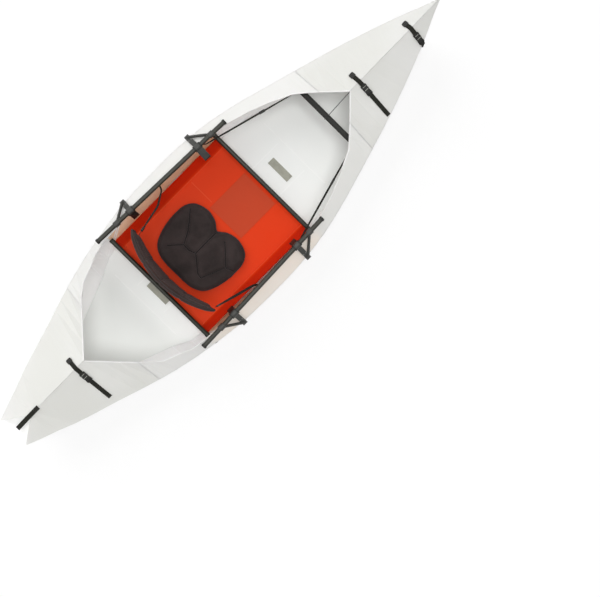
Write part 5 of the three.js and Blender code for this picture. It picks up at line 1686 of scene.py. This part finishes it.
wallPlan = {
    "back": {"origin": (-92, 371.82, 118.86), "along": (1, 0.0054, -0.0005), "inward": (0.005, -0.8907, 0.4546)},
    "foot": {"origin": (152, 365.73, 128.81), "along": (0.9954, -0.0955, -0.0005),
             "inward": (-0.0863, -0.9017, 0.4237)},
}
backStraps = {
    "twist": 26,
    "port": [(-330, 229, 214), (-176.3, 263, 190), (-113, 306, 160), (-92, 361.9, 123.9)],
    "starboard": [(-321, 252, 212), (-225, 279, 190), (-119.4, 308, 160), (-92, 361.9, 123.9)],
}
footStraps = {"route": [(152, 355.68, 133.53), (178, 310, 172), (651.6, 180, 170)], "width": 12, "thickness": 2.5,
              "buckleShare": 0.62, "twist": 45, "loopAt": 180, "loop": 15.4, "loopThickness": 1.6}


def metres(point, side):
    return point[0] * mm, side * point[1] * mm, point[2] * mm


def twisted(points, degrees):
    # Places along a strap that stands on edge, its width turned most at mid run
    places = evened(rounded([(point, (0, 0, 1)) for point in points], 14), 10)
    total = sum((b[0] - a[0]).length for a, b in zip(places, places[1:]))
    made, run = [], 0.0
    for i, (point, side) in enumerate(places):
        ahead = (places[min(i + 1, len(places) - 1)][0] - places[max(i - 1, 0)][0]).normalized()
        if i:
            run += (point - places[i - 1][0]).length
        turn = math.radians(degrees) * math.sin(math.pi * run / total) ** 0.5
        made.append((point, Matrix.Rotation(turn, 3, ahead) @ side))
    return made


def wallAnchor(name, plan, side, node):
    # A rounded plate with a round post, held by two screws
    inward, along = (Vector(plan[name]).normalized() for name in ("inward", "along"))
    place = axesAt(plan["origin"], along, inward.cross(along), inward)
    plate = slab("plate", platePlan["wall"])
    post = turned("post", platePlan["post"], (0, 0, 0), (0, 0, 1), around=24)
    both = moved(joined(f"{name}_anchor", [plate, post]), place)
    settle(sided(both, side), moulding, "root", node)
    places = [(place @ Vector((x, y, platePlan["screwAt"])), inward) for x, y in platePlan["screws"]]
    riveted(f"{name}_anchor_screws", places, steel, "root", *platePlan["screw"], side)


lockPlan = {
    "frame": ((-11, -4.2, -16.4), (11, 4.2, 16.4), 1.2), "at": 0.2, "past": 16,
    "holes": [((-7.6, -9, -13.2), (-3.4, 9, 13.2)), ((-0.6, -9, -13.2), (3.2, 9, 13.2)),
              ((5.6, -9, -13.2), (8.6, 9, 13.2)), ((-20, -1.5, -13.1), (20, 1.5, 13.1))],
    "tab": [(9.5, 14.5, 1.4, 0), (13, 15.2, 1.5, 0.8), (17, 14.6, 1.3, 2.4), (18, 12.5, 0.8, 2.9)],
}
sliderPlan = {
    "frame": ((-15, -5.6, -9.6), (15, 5.6, 9.6), 1.4),
    "holes": [((-11, -9, -6.8), (-6, 9, 6.8)), ((-2.5, -9, -6.8), (2.5, 9, 6.8)),
              ((6, -9, -6.8), (11, 9, 6.8)), ((-20, -1.7, -6.7), (20, 1.7, 6.7))],
}


def ladderLock(name, centre, along, side):
    # A ladder-lock: two side rails, three bars and a lift tab
    frame = carved(blockPiece("frame", *lockPlan["frame"]), lockPlan["holes"])
    tab = slab("tab", lockPlan["tab"])
    tab.data.transform(Matrix.Rotation(math.pi / 2, 4, "X"))
    both = moved(joined(f"{name}_lock", [frame, tab]), uprightAt(centre, along))
    settle(sided(both, side), moulding, bodyOf(name), name)


def backrestStraps():
    for name, side in sides.items():
        node = f"backrest_strap_{name}"
        points = backStraps[name]
        first, second = (Vector(point) for point in points[:2])
        route = twisted(points, backStraps["twist"])
        strap = ribbon(f"{node}_web", route, webSize["backWidth"], webSize["thickness"], bend=0.1, spacing=9)
        settle(sided(strap, side), webbing, None, node, 50)
        past = first.lerp(second, lockPlan["at"] + lockPlan["past"] / math.dist(*points[:2]))
        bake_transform(strap, "root", "backrest", start=metres(points[-2], side), end=metres(past, side))
        wallAnchor(node, wallPlan["back"], side, node)
        ladderLock(f"strap_adjuster_{name}", first.lerp(second, lockPlan["at"]), second - first, side)


def footrestStraps():
    plan = footStraps
    for name, side in sides.items():
        node = f"footrest_strap_{name}"
        route = twisted(plan["route"], plan["twist"])
        strap = ribbon(f"{node}_web", route, plan["width"], plan["thickness"], bend=0.1, spacing=12)
        settle(sided(strap, side), webbing, None, node, 50)
        a, b = (Vector(point) for point in plan["route"][1:])
        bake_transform(strap, "root", "footrest", start=metres(a, side), end=metres(b, side))
        wallAnchor(node, wallPlan["foot"], side, node)
        centre, reach = Vector((footPlan["x"], plan["loopAt"], footHeight)), plan["loop"]
        ring = [(centre + Vector((reach * math.cos(t), 0, reach * math.sin(t))), (0, 1, 0))
                for t in (math.pi + turn for turn in (*angles(40), 2 * math.pi))]
        loop = ribbon(f"{node}_loop", ring, plan["width"], plan["loopThickness"], bend=0.1)
        settle(sided(loop, side), webbing, "footrest", node, 50)
        frame = carved(blockPiece(f"{node}_slider", *sliderPlan["frame"]), sliderPlan["holes"])
        moved(frame, uprightAt(a.lerp(b, plan["buckleShare"]), b - a))
        settle(sided(frame, side), moulding, None, node)
        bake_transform(frame, "root", "footrest", start=metres(a, side), end=metres(b, side))


backrestStraps()
footrestStraps()
print("seat and footrest straps")
